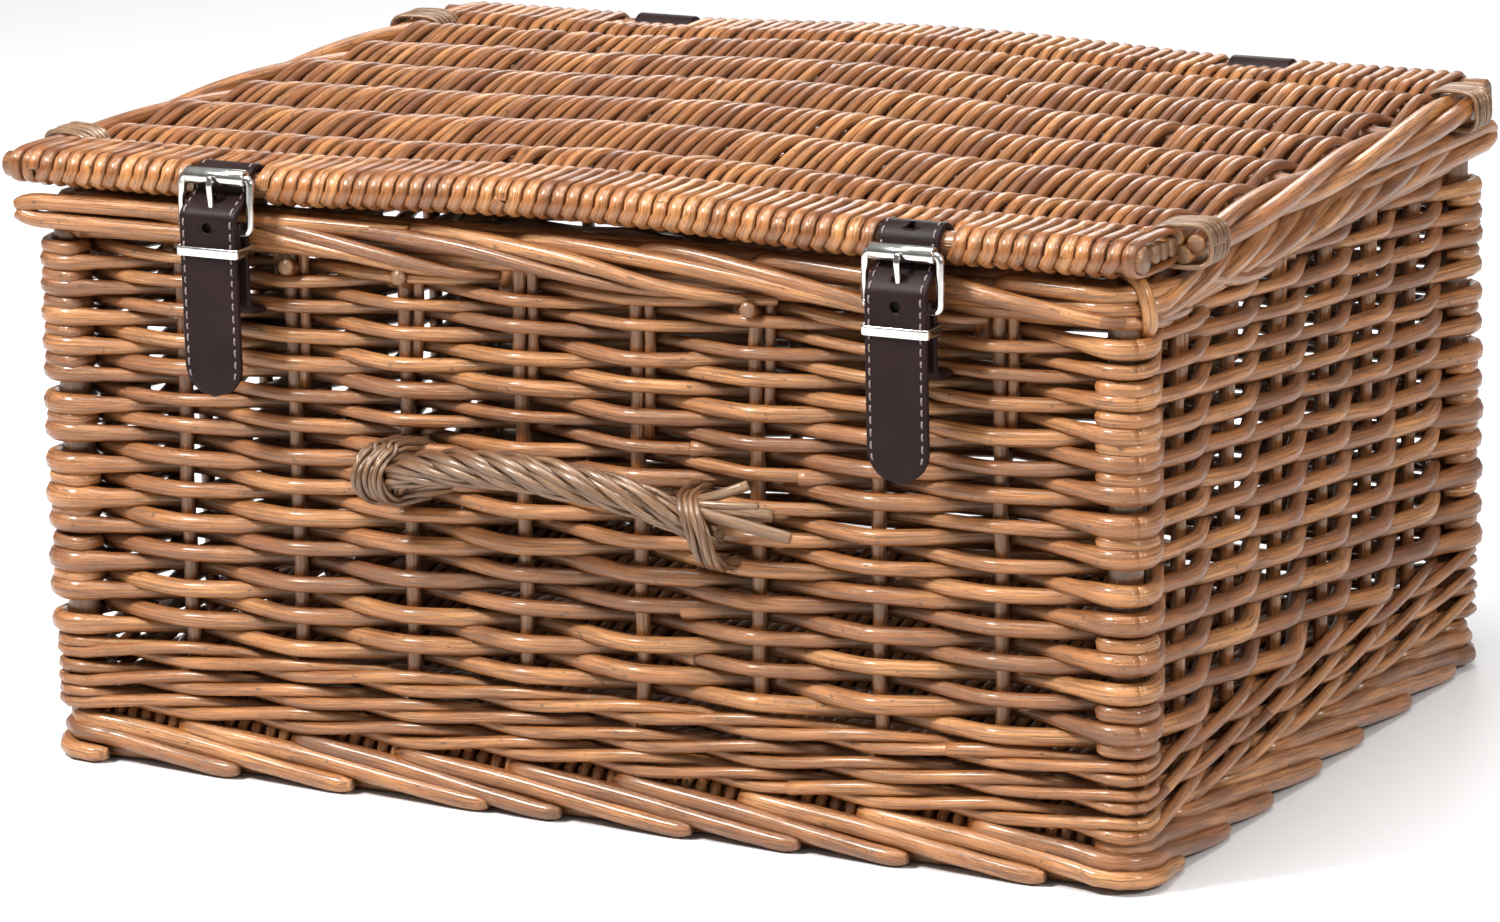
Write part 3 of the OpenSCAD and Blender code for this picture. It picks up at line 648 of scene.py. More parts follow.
def length_at(place):
    """Length round the line of stakes at a place counted in uprights."""
    i = int(math.floor(place))
    wall = wall_at(i % COUNT)
    steps = WALL_STARTS[wall + 1] - WALL_STARTS[wall]
    base = sum(STRAIGHT[:wall]) + wall * QUARTER - QUARTER / 2
    part = (place % COUNT) - WALL_STARTS[wall]
    return base + part / steps * (STRAIGHT[wall] + QUARTER) + (place // COUNT) * PERIMETER


def corner_push(s, amount, spread):
    """Extra reach near a corner, which squares it up."""
    corners = np.array([length_at(k) for k in WALL_STARTS[:4]])
    away = (s[:, None] - corners[None, :] + PERIMETER / 2) % PERIMETER - PERIMETER / 2
    return amount * np.exp(-(away / spread) ** 2).sum(1)


def foot_border():
    """Thick rods, one from each upright, that slant down to the floor over the next two."""
    work = Basketwork()
    for i in range(COUNT):
        s = length_at(i) + rng.normal(0, 1.8)
        reach = 106 + rng.normal(0, 5)
        top, low = FOOT_H - 3.4 + rng.normal(0, 0.4), 3.8
        points = [[s - 12, -8, top - 5], [s - 8, -2.0, top - 1.6], [s - 3.5, 2.4, top],
                  [s + 8, 4.2, top - 0.9], [s + reach * 0.42, 5.6, top - (top - low) * 0.38],
                  [s + reach * 0.75, 7.2, top - (top - low) * 0.76], [s + reach, 8.6, low],
                  [s + reach + 9, 9.0, low]]
        curve = spline(points, 4)
        path = around(curve[:, 0], curve[:, 1] + corner_push(curve[:, 0], 3.6, 9), curve[:, 2])
        t = np.linspace(0, 1, len(path))
        radius = 4.0 - 0.45 * t + 0.08 * np.sin(t * 30 + i)
        radius[-3:] *= [0.96, 0.85, 0.62]
        path[:, 2] = np.maximum(path[:, 2], radius + 0.05)
        work.put(Strand(path, radius, sides=11))
    s = np.append(np.arange(0, PERIMETER, 6), PERIMETER)
    # Two rods all round inside the border, filling the gaps under the walls; painted shade darkens them.
    for out, z in ((1.2, 4.1), (-2.5, 10.5)):
        work.put(Strand(around(s, out + corner_push(s, 3, 9), z), 3.6, shade=0.6), caps=(False, False))
    return work


def back_share(s):
    """1 along the back wall, where the border must stay inside the bare hinge rod, and 0 elsewhere."""
    start = STRAIGHT[0] + STRAIGHT[1] + 1.5 * QUARTER
    end = start + STRAIGHT[2] + QUARTER
    s = np.asarray(s) % PERIMETER
    return np.clip((s - start) / 26, 0, 1) * np.clip((end - s) / 26, 0, 1)


def top_borders():
    """A bundle of eight rods with a slow twist, and rods laid over it on the long walls."""
    works = [Basketwork() for _ in range(4)]
    step = 5.0
    s = np.append(np.arange(0, PERIMETER, step), PERIMETER)
    turns = np.zeros_like(s)
    at = 0.0
    for wall, twist in ((FRONT, 0.2), (RIGHT, 1.25), (BACK, 0.3), (LEFT, 1.25)):
        span = STRAIGHT[wall] + QUARTER
        turns += np.clip((s - at) / span, 0, 1) * twist
        at += span
    sideways = np.interp((s + QUARTER / 2) % PERIMETER,
                         np.cumsum([0, 20, STRAIGHT[0] - 30, 30, STRAIGHT[1] - 20, 30, STRAIGHT[2] - 30, 30,
                                    STRAIGHT[3] - 20, 20]),
                         [1, 0, 0, 1, 1, 0, 0, 1, 1, 1])
    backness = back_share(s)
    half_w = 5.6 + 3.0 * sideways - 1.4 * backness
    centre_out = -2.2 + 3.0 * sideways - 2.0 * backness
    middle_z = (WEAVE_TOP + RIM_TOP) / 2
    places = np.interp(s, [length_at(i) for i in range(COUNT + 1)], np.arange(COUNT + 1))
    for j in range(BORDER_RODS):
        phase = 2 * math.pi * (turns + j / BORDER_RODS) + 0.35
        wobble = np.interp(s, np.linspace(0, PERIMETER, 40), rng.normal(0, 0.7, 40), period=PERIMETER)
        out = centre_out + half_w * np.cos(phase) + wobble
        path = around(s, out, middle_z + 5.9 * np.sin(phase) + wobble * 0.4)
        radius = 3.3 + np.interp(s, np.linspace(0, PERIMETER, 30), rng.normal(0, 0.3, 30), period=PERIMETER)
        strand = Strand(path, radius - 0.4 * backness, sides=10)
        cut_by_wall(strand, places, works, (False, False))
    for i in range(-1, COUNT):
        wall = wall_at(i)
        if wall in (FRONT, BACK):
            laid_rod(works[wall], length_at(i) if i >= 0 else length_at(0) - 30)
    for i in (2, 3, 6):
        stake_end(works[FRONT], length_at(i) + 1)
    for corner, wall in ((1, FRONT), (2, BACK), (3, BACK)):
        corner_wrap(works[wall], length_at(WALL_STARTS[corner]) + 1.5)
    hairpin(works[FRONT], (-STAKE_X, -STAKE_Y), (1, 0), (0, -1))
    hairpin(works[RIGHT], (STAKE_X, STAKE_Y - 3), (0, -1), (1, 0))
    return works


def laid_rod(work, s):
    """A rod that comes up inside, is laid along the rim and tapers down to a tip that dives in."""
    low, high = WEAVE_TOP, RIM_TOP
    run = 150 + rng.normal(0, 14)
    points = [[s - 7, -5, low - 7], [s - 5, -1, low + 5], [s + 3, 2.5, high - 5.5],
              [s + 20, 5.5, high - 3.4 + rng.normal(0, 0.5)],
              [s + run * 0.5, 9.3, high - 7.4 + rng.normal(0, 0.8)],
              [s + run * 0.8, 9.6, low + 5.2 + rng.normal(0, 0.6)], [s + run, 7.2, low + 1.6],
              [s + run + 16, 1.5, low + 0.8]]
    curve = spline(points, 4)
    share = back_share(curve[:, 0])
    out = curve[:, 1] * (1 - share) + (curve[:, 1] * 0.3 - 1.2) * share
    path = around(curve[:, 0], out, curve[:, 2])
    t = np.linspace(0, 1, len(path))
    radius = np.minimum(3.7 - 1.9 * t ** 1.5, 3.7 - 0.8 * share) + rng.normal(0, 0.12)
    work.put(Strand(path, radius, sides=10))


def stake_end(work, s):
    """The cut end of a stake that sticks out below the rim."""
    curve = spline([[s, -4, WEAVE_TOP - 9], [s, 2, WEAVE_TOP - 4], [s + 1, 9.5, WEAVE_TOP - 1.6]], 3)
    work.put(Strand(around(curve[:, 0], curve[:, 1], curve[:, 2]), 3.1, ref=(1, 0, 0), sides=10, tone=0.2))


def corner_wrap(work, s):
    """One rod bound over the border at a corner."""
    profile = [(-8, WEAVE_TOP + 3), (-9.5, RIM_TOP - 6), (-6, RIM_TOP + 0.4), (3, RIM_TOP + 1.6),
               (9.5, RIM_TOP - 1.5), (12.0, RIM_TOP - 8), (11.0, WEAVE_TOP + 3), (6, WEAVE_TOP),
               (0, WEAVE_TOP - 2)]
    curve = spline([[out, z, 0] for out, z in profile], 2.5)
    path = around(np.full(len(curve), s) + np.linspace(-2, 2, len(curve)), curve[:, 0], curve[:, 1])
    work.put(Strand(path, 2.7, wide=1.1, ref=around(s + 1, 0, 0)[0] - around(s - 1, 0, 0)[0], sides=10))


def hairpin(work, corner, along, normal):
    """A border rod that doubles back in a loop past a corner; its legs run along the wall."""
    high, low = RIM_TOP - 3.6, RIM_TOP - 10.6
    profile = [(150, 6.0, high - 1), (70, 9.0, high), (8, 11.0, high), (-9, 11.5, high - 0.4),
               (-16, 11.0, (high + low) / 2), (-9, 11.5, low + 0.4), (8, 11.0, low), (70, 9.0, low - 1),
               (120, 6.0, low - 3)]
    curve = spline(profile, 3)
    flat = np.array(corner) + np.outer(curve[:, 0], along) + np.outer(curve[:, 1], normal)
    work.put(Strand(np.column_stack([flat, curve[:, 2]]), 3.3, sides=10, tone=0.7))


def bare_hinge_rod():
    lo, hi = ybox("hinge_rod")
    x = np.linspace(lo[0], hi[0], 40)
    work = Basketwork()
    path = np.column_stack([x, np.full(40, HINGE_Y), np.full(40, HINGE_Z)])
    work.put(Strand(path, HINGE_R * (1 + 0.012 * np.sin(x * 0.11)), sides=16, tone=0.4))
    return work


# ---------- flat woven panels: the base and the lid ----------

def no_crown(x, y):
    return 0.0 * x


def lid_crown(x, y):
    """The lid bulges between its straps and a little more in the middle."""
    bump = np.clip(1 - (x / (HINGE_X - 6)) ** 2, 0, 1) ** 2
    return 3.6 * bump + 2.4 * np.clip(1 - (y / EDGE_Y) ** 2, 0, 1) * np.clip(1 - (x / LID_X) ** 2, 0, 1)


def panel_weavers(x0, x1, pitch, sticks, stick_r, z_mid, edge_profile, mean_r, crown):
    """Strands that go to and fro across the sticks and wrap both long edges, one pitch for each wrap.

    edge_profile(x, side) gives the half profile of the wrap as rows of y, z, thickness and width ratio,
    from its inner top point to the outermost one. The strands are returned as control points.
    """
    sides = np.array([(-1) ** (k + 1) for k in range(len(sticks))])
    legs = int((x1 - x0) / (pitch / 2))
    heading, level = 1, 1
    points = []
    for leg in range(legs):
        x = x0 + leg * pitch / 2
        sway = rng.normal(0, 0.5)
        strand_r = mean_r * (1 + rng.normal(0, 0.07))
        edge = edge_profile(x, -heading)
        for k, (y, z, r, wide) in enumerate(edge[::-1]):
            points.append([x + sway * k / len(edge), -heading * y, z * level, r, wide])
        order = sticks if heading > 0 else sticks[::-1]
        for k, y in enumerate(order):
            up = level * sides[k]
            lift = up * (stick_r + strand_r * 0.92 + rng.normal(0, 0.12))
            points.append([x + sway + rng.normal(0, 0.35), y, lift, strand_r, 1.0])
        level = level * (-1) ** len(sticks) * -1
        far = edge_profile(x, heading)
        for k, (y, z, r, wide) in enumerate(far[:-1]):
            points.append([x + sway * (1 - k / len(far)), heading * y, z * level, r, wide])
        level = -level
        heading = -heading
    p = np.array(points)
    p[:, 2] += z_mid + crown(p[:, 0], p[:, 1])
    return p


def put_weavers(works, limits, p, step, z_mid, crown, inner, sides=7, span=55):
    """Splits the long zigzag into strands and files each with the work whose X limit it is under.

    A strand is darker where it dives between the sticks: painted shade.
    """
    i = 0
    while i < len(p) - 2:
        j = min(i + span + int(rng.integers(-12, 12)), len(p) - 1)
        if len(p) - 1 - j < 12:
            j = len(p) - 1
        curve = spline(p[i:j + 1], step)
        which = int(np.searchsorted(limits, curve[:, 0].mean()))
        # Painted shade, deepest where the strand dips between the sticks, inside the edges only.
        depth = np.abs(curve[:, 2] - z_mid - crown(curve[:, 0], curve[:, 1]))
        works[which].put(Strand(curve[:, :3], curve[:, 3], wide=curve[:, 4], ref=(1, 0, 0), sides=sides,
                                shade=0.6 * np.clip(1 - depth / 4.6, 0, 1) * (np.abs(curve[:, 1]) < inner)))
        i = j


def lid_edge(x, side):
    """Wrap round the whole bundle, or round the inner rods only beside a strap or hinge loop."""
    across, width = (STRAP_X, STRAP_W) if side < 0 else (HINGE_X, HINGE_W)
    if abs(abs(x) - across) < width / 2 + BAND_GAP - 1:
        y = BUNDLE_Y[0]
        return [(BUNDLE_Y[2] - 2, 4.7, 1.7, 1.3), (BUNDLE_Y[1], 4.7, 1.4, 1.7), (y + 0.5, 4.5, 1.3, 1.9),
                (y + 3.6, 3.1, 1.3, 1.9), (y + 4.7, 0, 1.3, 1.9)]
    rise = EDGE_ROD_R + 1.1
    return [(BUNDLE_Y[2] - 2, 4.7, 1.8, 1.2), (BUNDLE_Y[1], 5.3, 1.5, 1.5), (EDGE_Y - 3.5, 6.0, 1.3, 1.95),
            (EDGE_Y + 1.0, rise - 0.1, 1.25, 2.1), (EDGE_Y + 4.6, rise * 0.64, 1.25, 2.15),
            (EDGE_Y + rise, 0, 1.25, 2.15)]


def base_edge(x, side):
    y = WALL_Y - 12
    return [(y - 4, 4.6, 2.0, 1.0), (y, 5.5, 1.9, 1.2), (y + 4.2, 3.8, 1.9, 1.2), (y + 5.5, 0, 1.9, 1.2)]


def crowned_rod(x0, x1, y, r, z_mid, crown, work, tone=None, sides=10):
    x = np.linspace(x0, x1, int((x1 - x0) / 9))
    z = z_mid + crown(x, np.full_like(x, y)) + 0.25 * np.sin(x * 0.05 + y)
    work.put(Strand(np.column_stack([x, np.full_like(x, y), z]), r, sides=sides, tone=tone))


def end_wraps(work, side, places):
    """Extra turns of the weaver on the ends of an edge bundle, outside the weave."""
    for x in places:
        half, mid, rise = (EDGE_Y - BUNDLE_Y[2]) / 2 + 5.2, (EDGE_Y + BUNDLE_Y[2]) / 2, 6.0
        turn = np.linspace(0, 2 * math.pi, 33)
        squared = (np.abs(np.cos(turn)) ** 4 + np.abs(np.sin(turn)) ** 4) ** -0.25
        y = side * mid + half * np.cos(turn) * squared
        z = LID_MID + rise * np.sin(turn) * squared
        path = np.column_stack([x + 1.2 * np.cos(turn) + rng.normal(0, 0.1), y, z])
        work.put(Strand(path, 1.3, wide=2.0, ref=(1, 0, 0), sides=8))


def base_pieces():
    inner = STAKE_X - STAKE_R - 4
    p = panel_weavers(-inner, inner, 6.1, BASE_STICK_Y, 3, BASE_MID, base_edge, 2.15, no_crown)
    weave = Basketwork()
    put_weavers([weave], [], p, 7.0, BASE_MID, no_crown, WALL_Y - 14, sides=6)
    for y in (-1, 1):
        crowned_rod(-inner - 3, inner + 3, y * (WALL_Y - 12), 3.4, BASE_MID, no_crown, weave)
    sticks = Basketwork()
    for y in BASE_STICK_Y:
        crowned_rod(-inner - 2, inner + 2, y, 3, BASE_MID, no_crown, sticks)
    for side in (-1, 1):
        for dz in (-3.4, 3.4):
            path = np.column_stack([np.full(30, side * (inner + 1)), np.linspace(-150, 150, 30),
                                    np.full(30, BASE_MID + dz)])
            weave.put(Strand(path, 3.2))
    return weave, sticks


def lid_pieces():
    p = panel_weavers(-LID_X + 0.9, LID_X - 0.9, 5.88, LID_STICK_Y, 3, LID_MID, lid_edge, 2.12, lid_crown)
    halves = [Basketwork(), Basketwork()]
    put_weavers(halves, [0.0], p, 4.6, LID_MID, lid_crown, BUNDLE_Y[2] - 3)
    for side in (-1, 1):
        end_wraps(halves[0], side, [-LID_X - 0.6] if side > 0 else [-LID_X - 0.6, -LID_X - 6.2])
        if side < 0:
            end_wraps(halves[1], side, [LID_X + 0.4])
    sticks = Basketwork()
    for y in LID_STICK_Y:
        crowned_rod(-LID_X - 2, LID_X + 2, y, 3, LID_MID, lid_crown, sticks)
    bundles = []
    for side, node in ((-1, "lid_front_rods"), (1, "lid_back_rods")):
        lo, hi = ybox(node)
        work = Basketwork()
        crowned_rod(lo[0], hi[0], side * EDGE_Y, EDGE_ROD_R * 0.98, LID_MID, lid_crown, work,
                    tone=0.55, sides=14)
        for y in BUNDLE_Y:
            end = hi[0] + (5 if side > 0 else 0)
            crowned_rod(-hi[0], end, side * y, BUNDLE_ROD_R * 0.99, LID_MID, lid_crown, work, sides=12)
        bundles.append(work)
    return halves, sticks, bundles


def side_rods(side):
    """Three long rods woven in and out of the stick ends along a short edge of the lid."""
    work = Basketwork()
    lo, hi = ybox("lid_side_rods_right")
    centre = (lo[0] + hi[0]) / 2
    reach = hi[1] + 2.4
    stations = np.concatenate([[-reach], (LID_STICK_Y[:-1] + LID_STICK_Y[1:]) / 2, [reach]])
    for k in range(3):
        points = []
        for n, y in enumerate(np.sort(np.concatenate([stations, LID_STICK_Y]))):
            turn = n * 0.55 + k * math.tau / 3 + 0.3
            points.append([side * (centre + 4.6 * math.cos(turn)), y, LID_MID + 3.7 * math.sin(turn)])
        path = spline(points, 5)
        path[:, 0] += rng.normal(0, 0.1)
        r = 3.45 + 0.35 * np.sin(path[:, 1] * 0.018 + k * 1.7)
        work.put(Strand(path, r, ref=(1, 0, 0), sides=11, tone=(0.35, 0.8, 0.55)[k]))
    return work


def lashings():
    """Split skeins bound round the ends of the side rods and over the corner of the weave."""
    work = Basketwork()
    lo, hi = ybox("lid_side_rods_right")
    centre, reach = (lo[0] + hi[0]) / 2, hi[1]
    turn = np.linspace(0, 2 * math.pi, 41)
    squared = (np.abs(np.cos(turn)) ** 3.2 + np.abs(np.sin(turn)) ** 3.2) ** (-1 / 3.2)
    for sx in (-1, 1):
        for sy in (-1, 1):
            for k in range(6):
                y = sy * (reach + 3.4 - k * 2.9)
                inward = 5.0 * (np.cos(turn) < 0)
                x = sx * (centre + 1.2 + (8.6 + inward + rng.normal(0, 0.2)) * np.cos(turn) * squared)
                z = LID_MID + (7.7 + rng.normal(0, 0.2)) * np.sin(turn) * squared
                slant = 2.4 * np.cos(turn) * sy + 0.5 * np.sin(turn + k)
                path = np.column_stack([x, y - slant, z])
                work.put(Strand(path, 0.9, wide=1.1, ref=(0, 1, 0), sides=8, tone=rng.uniform(0.4, 1.1)))
    return work


# ---------- leather ----------

def arc(cy, cz, r, a0, a1, n):
    turn = np.radians(np.linspace(a0, a1, n))
    return [(cy + r * math.cos(t), cz + r * math.sin(t)) for t in turn]


class Buckle:
    """Places of one strap's parts, read from the CAD nodes."""

    def __init__(self, side):
        self.x = middle("lid_strap_" + side)[0]
        roller_lo, roller_hi = ybox("buckle_roller_" + side)
        self.roller_r = (roller_hi[2] - roller_lo[2]) / 2
        self.roller = ((roller_lo[1] + roller_hi[1]) / 2, (roller_lo[2] + roller_hi[2]) / 2)
        self.roller_half = (roller_hi[0] - roller_lo[0]) / 2
        frame_lo, frame_hi = ybox("buckle_frame_" + side)
        self.wire_r = 1.6
        ring_hi = ybox("buckle_prong_" + side)[1][1]
        self.heel = (ring_hi - (self.wire_r + 0.1 + 1.6), frame_lo[2] + self.wire_r)
        self.arm_x = (frame_hi[0] - frame_lo[0]) / 2 - self.wire_r
        self.keeper_lo, self.keeper_hi = ybox("keeper_" + side)
        self.strap_lo, self.strap_hi = ybox("lid_strap_" + side)
        self.anchor_lo = ybox("buckle_strap_" + side)[0]


def leather_strip(path, x, width, thickness, taper=None):
    """A strip along a path in the YZ plane. taper narrows the last rings to a round tip."""
    path = np.asarray(path, float)
    points = np.column_stack([np.full(len(path), x), path])
    wide = np.ones(len(points)) if taper is None else taper
    work = Basketwork()
    work.put(Strand(points, 1.0, wide=wide, ref=(1, 0, 0), section=slab_section(width, thickness), tone=0.5))
    return work


def resample(path, step):
    path = np.asarray(path, float)
    run = np.concatenate([[0], np.cumsum(np.linalg.norm(np.diff(path, axis=0), axis=1))])
    s = np.linspace(0, run[-1], max(2, int(run[-1] / step)))
    return np.column_stack([np.interp(s, run, path[:, k]) for k in range(path.shape[1])]), run[-1] - s


def lid_strap_path(b):
    """Round the outer rod, down behind the roller, out over the heel bar and down through the keeper."""
    r = EDGE_ROD_R + 0.3 + LEATHER_T / 2
    rod = (-EDGE_Y, LID_MID)
    tail_y = b.keeper_lo[1] + 1 + 0.3 + LEATHER_T / 2
    out_y = rod[0] - r
    z0, z1 = min(b.roller[1], LID_MID) - 1.5, b.heel[1] + 6
    points = arc(*rod, r, -60, 180, 25)
    for t in np.linspace(0, 1, 11):
        points.append((out_y + (tail_y - out_y) * t * t * (3 - 2 * t), z0 + (z1 - z0) * t))
    keeper_z = (b.keeper_lo[2] + b.keeper_hi[2]) / 2
    points += [(tail_y, keeper_z), (tail_y + 0.4, (keeper_z + b.strap_lo[2]) / 2),
               (tail_y + 1, b.strap_lo[2])]
    return points


def stitch_line(work, path, x, inset_from, tip, surface):
    """Short thread stitches on the outer face along one edge of a strip."""
    path, left = resample(path, 0.5)
    pitch = 4.4
    normal = unit(np.gradient(path, axis=0))
    normal = np.column_stack([normal[:, 1], -normal[:, 0]])
    n = int((left[0] - 6) / pitch)
    for k in range(n):
        a = left[0] - 4 - k * pitch
        idx = np.where((left <= a) & (left >= a - 2.9))[0]
        if len(idx) < 3:
            continue
        mid = left[idx]
        width = np.where(mid < tip, np.sqrt(np.maximum(0, tip ** 2 - (tip - mid) ** 2)) / tip, 1.0)
        arch = np.sin(np.linspace(0.15, math.pi - 0.15, len(idx))) * 0.42 + surface - 0.12
        p = path[idx] + normal[idx] * arch[:, None]
        xs = x + inset_from * width
        work.put(Strand(np.column_stack([xs, p]), 0.36, ref=(1, 0, 0), sides=5, tone=0.5))


def punch_out(obj, co, faces):
    """Cuts a closed shape, given in metres, out of an object's mesh."""
    cutter = bpy.data.meshes.new("punch")
    cutter.from_pydata(co, [], faces)
    punch = bpy.data.objects.new("punch", cutter)
    bpy.context.scene.collection.objects.link(punch)
    modifier = obj.modifiers.new("punch", "BOOLEAN")
    modifier.operation, modifier.solver, modifier.object = "DIFFERENCE", "EXACT", punch
    bpy.context.view_layer.update()
    evaluated = obj.evaluated_get(bpy.context.evaluated_depsgraph_get())
    mesh = bpy.data.meshes.new_from_object(evaluated)
    obj.modifiers.clear()
    obj.data = mesh
    bpy.data.objects.remove(punch)


def cut_holes(obj, b, path, holes):
    """Punched holes in the outer face of a strap, as (height, diameter)."""
    co, faces = [], []
    path = np.asarray(path)
    for z, diameter in holes:
        start = len(co)
        middle_y = path[np.argmin(np.abs(path[:, 1] - z) + 50 * (path[:, 0] > -EDGE_Y)), 0]
        for y in (middle_y - LEATHER_T, middle_y + LEATHER_T * 0.4):
            for k in range(20):
                turn = 2 * math.pi * k / 20
                co.append(((b.x + diameter / 2 * math.cos(turn)) * MM, (y + SHIFT) * MM,
                           (z + diameter / 2 * math.sin(turn)) * MM))
        faces.append([start + k for k in range(20)])
        faces.append([start + 20 + k for k in reversed(range(20))])
        for k in range(20):
            faces.append([start + k, start + 20 + k, start + 20 + (k + 1) % 20, start + (k + 1) % 20])
    punch_out(obj, co, faces)


def lid_strap(side, b):
    tip = STRAP_W / 2
    path, left = resample(lid_strap_path(b), 1.5)
    taper = np.where(left < tip, np.sqrt(np.maximum(0.0004, tip ** 2 - (tip - left) ** 2)) / tip, 1.0)
    work = leather_strip(path, b.x, STRAP_W, LEATHER_T, taper)
    obj = piece("lid_strap_" + side, work, "lid_strap_" + side, LEATHER)
    holes = [(b.heel[1] + 11, 4.2), (b.heel[1] + 2, 4.2)]
    if b.roller[1] < LID_MID:
        holes.append((b.roller[1] + 7.5, 3.8))
    cut_holes(obj, b, path, holes)
    work = Basketwork()
    for edge in (-1, 1):
        stitch_line(work, lid_strap_path(b), b.x, edge * (STRAP_W / 2 - 2.0), tip, LEATHER_T / 2)
    piece("lid_strap_stitches_" + side, work, "lid_strap_" + side, THREAD, ())


def buckle_strap(side, b):
    """Out of the weave, up behind the lid strap, round the heel bar and a short way down again."""
    t = LEATHER_T
    back_y = b.keeper_hi[1] - 1 - 0.3 - t / 2
    front_y = b.heel[0] - b.wire_r - 0.1 - t / 2
    r = 5 + t / 2
    anchor = b.anchor_lo[2] + r + 12
    in_y = -WALL_Y + 17 + t / 2 + 0.1
    top_r = b.wire_r + 0.1 + t / 2
    points = [(in_y, anchor - r - 12)] + arc(in_y - r, anchor - r, r, 0, 90, 7)
    points += arc(back_y + r, anchor + r, r, 270, 180, 7) + arc(*b.heel, top_r, 0, 180, 17)
    points += [(front_y, b.keeper_lo[2] - 1)]
    path, _ = resample(points, 1.6)
    work = leather_strip(path, b.x, STRAP_W - 0.6, t - 0.1)
    obj = piece("buckle_strap_" + side, work, "basket", LEATHER)
    cut_slot(obj, b)


def cut_slot(obj, b):
    """Slot in the fold for the prong."""
    w, reach = 3.4, 4.6
    co = [((b.x + sx * w / 2) * MM, (b.heel[0] + sy * reach + SHIFT) * MM, (b.heel[1] + z) * MM)
          for z in (-4.2, 8) for sy in (-1, 1) for sx in (-1, 1)]
    faces = [(0, 2, 3, 1), (4, 5, 7, 6), (0, 1, 5, 4), (2, 6, 7, 3), (0, 4, 6, 2), (1, 3, 7, 5)]
    punch_out(obj, co, faces)


def hinge_loop(side, sign):
    """A band of leather pinched between the lid's back rod and the border rod."""
    t = LEATHER_T
    low_r, high_r = HINGE_R + 0.3 + t / 2, EDGE_ROD_R + 0.1 + t / 2
    pinch = t / 2 + 0.05
    mid_z = (HINGE_Z + HINGE_R + LID_MID - EDGE_ROD_R) / 2
    points = arc(HINGE_Y, HINGE_Z, low_r, -235, 55, 25)
    points += [(HINGE_Y + pinch - 0.6, mid_z)] + arc(EDGE_Y, LID_MID, high_r, -50, 230, 25)
    points += [(EDGE_Y - pinch + 0.4, mid_z), points[0]]
    path, _ = resample(spline([(a, b, 0) for a, b in points], 1.2)[:, :2], 1.2)
    work = leather_strip(path, sign * HINGE_X, HINGE_W, t - 0.1)
    piece("hinge_loop_" + side, work, "lid", LEATHER)


# ---------- buckles ----------

def rounded_loop(corners, r, n=6):
    """A closed path through corners in 3-D with rounded bends."""
    out = []
    count = len(corners)
    for k in range(count):
        p = np.array(corners[k], float)
        a = unit(np.array(corners[k - 1], float) - p)
        b = unit(np.array(corners[(k + 1) % count], float) - p)
        for t in np.linspace(0, 1, n):
            start, end = p + a * r, p + b * r
            out.append((1 - t) ** 2 * start + 2 * t * (1 - t) * p + t * t * end)
    out.append(out[0])
    return np.array(out)


def buckle_frame(side, b):
    work = Basketwork()
    y1, z1 = b.roller
    y0, z0 = b.heel
    corners = [(b.x - b.arm_x, y0, z0), (b.x + b.arm_x, y0, z0), (b.x + b.arm_x, y1, z1),
               (b.x - b.arm_x, y1, z1)]
    path = rounded_loop(corners, 2.6)
    across = np.cross([1, 0, 0], unit(np.array([0, y1 - y0, z1 - z0])))
    work.put(Strand(path, b.wire_r, ref=across, sides=12, tone=0.5), caps=(False, False))
    piece("buckle_frame_" + side, work, "buckle_frame_" + side, NICKEL)


def roller(side, b):
    """A rolled tube with soft ends and the seam of the sheet it is made from."""
    half, r, bore = b.roller_half, b.roller_r, b.wire_r + 0.15
    profile = [(-half + 0.6, bore), (-half, bore + 0.4), (-half, r - 0.5), (-half + 0.5, r),
               (half - 0.5, r), (half, r - 0.5), (half, bore + 0.4), (half - 0.6, bore)]
    sides = 28
    work = Basketwork()
    rings = []
    for x, radius in profile:
        turn = np.arange(sides) * 2 * math.pi / sides
        dip = np.where((np.arange(sides) == 3) & (radius > bore + 1), 0.35, 0)
        rings.append(np.column_stack([np.full(sides, b.x + x), b.roller[0] + (radius - dip) * np.cos(turn),
                                      b.roller[1] + (radius - dip) * np.sin(turn)]))
    strand = Strand(np.column_stack([np.linspace(0, 1, len(rings)) + b.x, np.zeros(len(rings)),
                                     np.zeros(len(rings))]), 1.0, sides=sides, tone=0.5)
    strand.rings = np.array(rings)
    work.put(strand, caps=(False, False))
    work.caps = []
    work.quads.append(np.array([[(len(rings) - 1) * sides + k, (len(rings) - 1) * sides + (k + 1) % sides,
                                 (k + 1) % sides, k] for k in range(sides)]))
    piece("buckle_roller_" + side, work, "buckle_roller_" + side, NICKEL)


def prong(side, b):
    """Wire that is looped round the heel bar and bent over the roller."""
    wire = 1.3
    loop_r = b.wire_r + 0.15 + wire
    hi = ybox("buckle_prong_" + side)[1]
    lo = ybox("buckle_prong_" + side)[0]
    tip = (lo[1] + 1.35, hi[2] - 1.3)
    points = [(y, z) for y, z in arc(*b.heel, loop_r, 420, 130, 20)]
    mid = ((points[-1][0] + tip[0]) / 2 - 0.4, (points[-1][1] + tip[1]) / 2)
    points += [mid, (tip[0] - 0.15, tip[1] - 4), (tip[0] + 0.2, tip[1] - 0.4)]
    curve = spline([(b.x, y, z) for y, z in points], 1.0)
    t = np.linspace(0, 1, len(curve))
    work = Basketwork()
    work.put(Strand(curve, wire * np.where(t > 0.93, 0.85, 1.0), ref=(1, 0, 0), sides=10, tone=0.5))
    piece("buckle_prong_" + side, work, "buckle_prong_" + side, NICKEL)


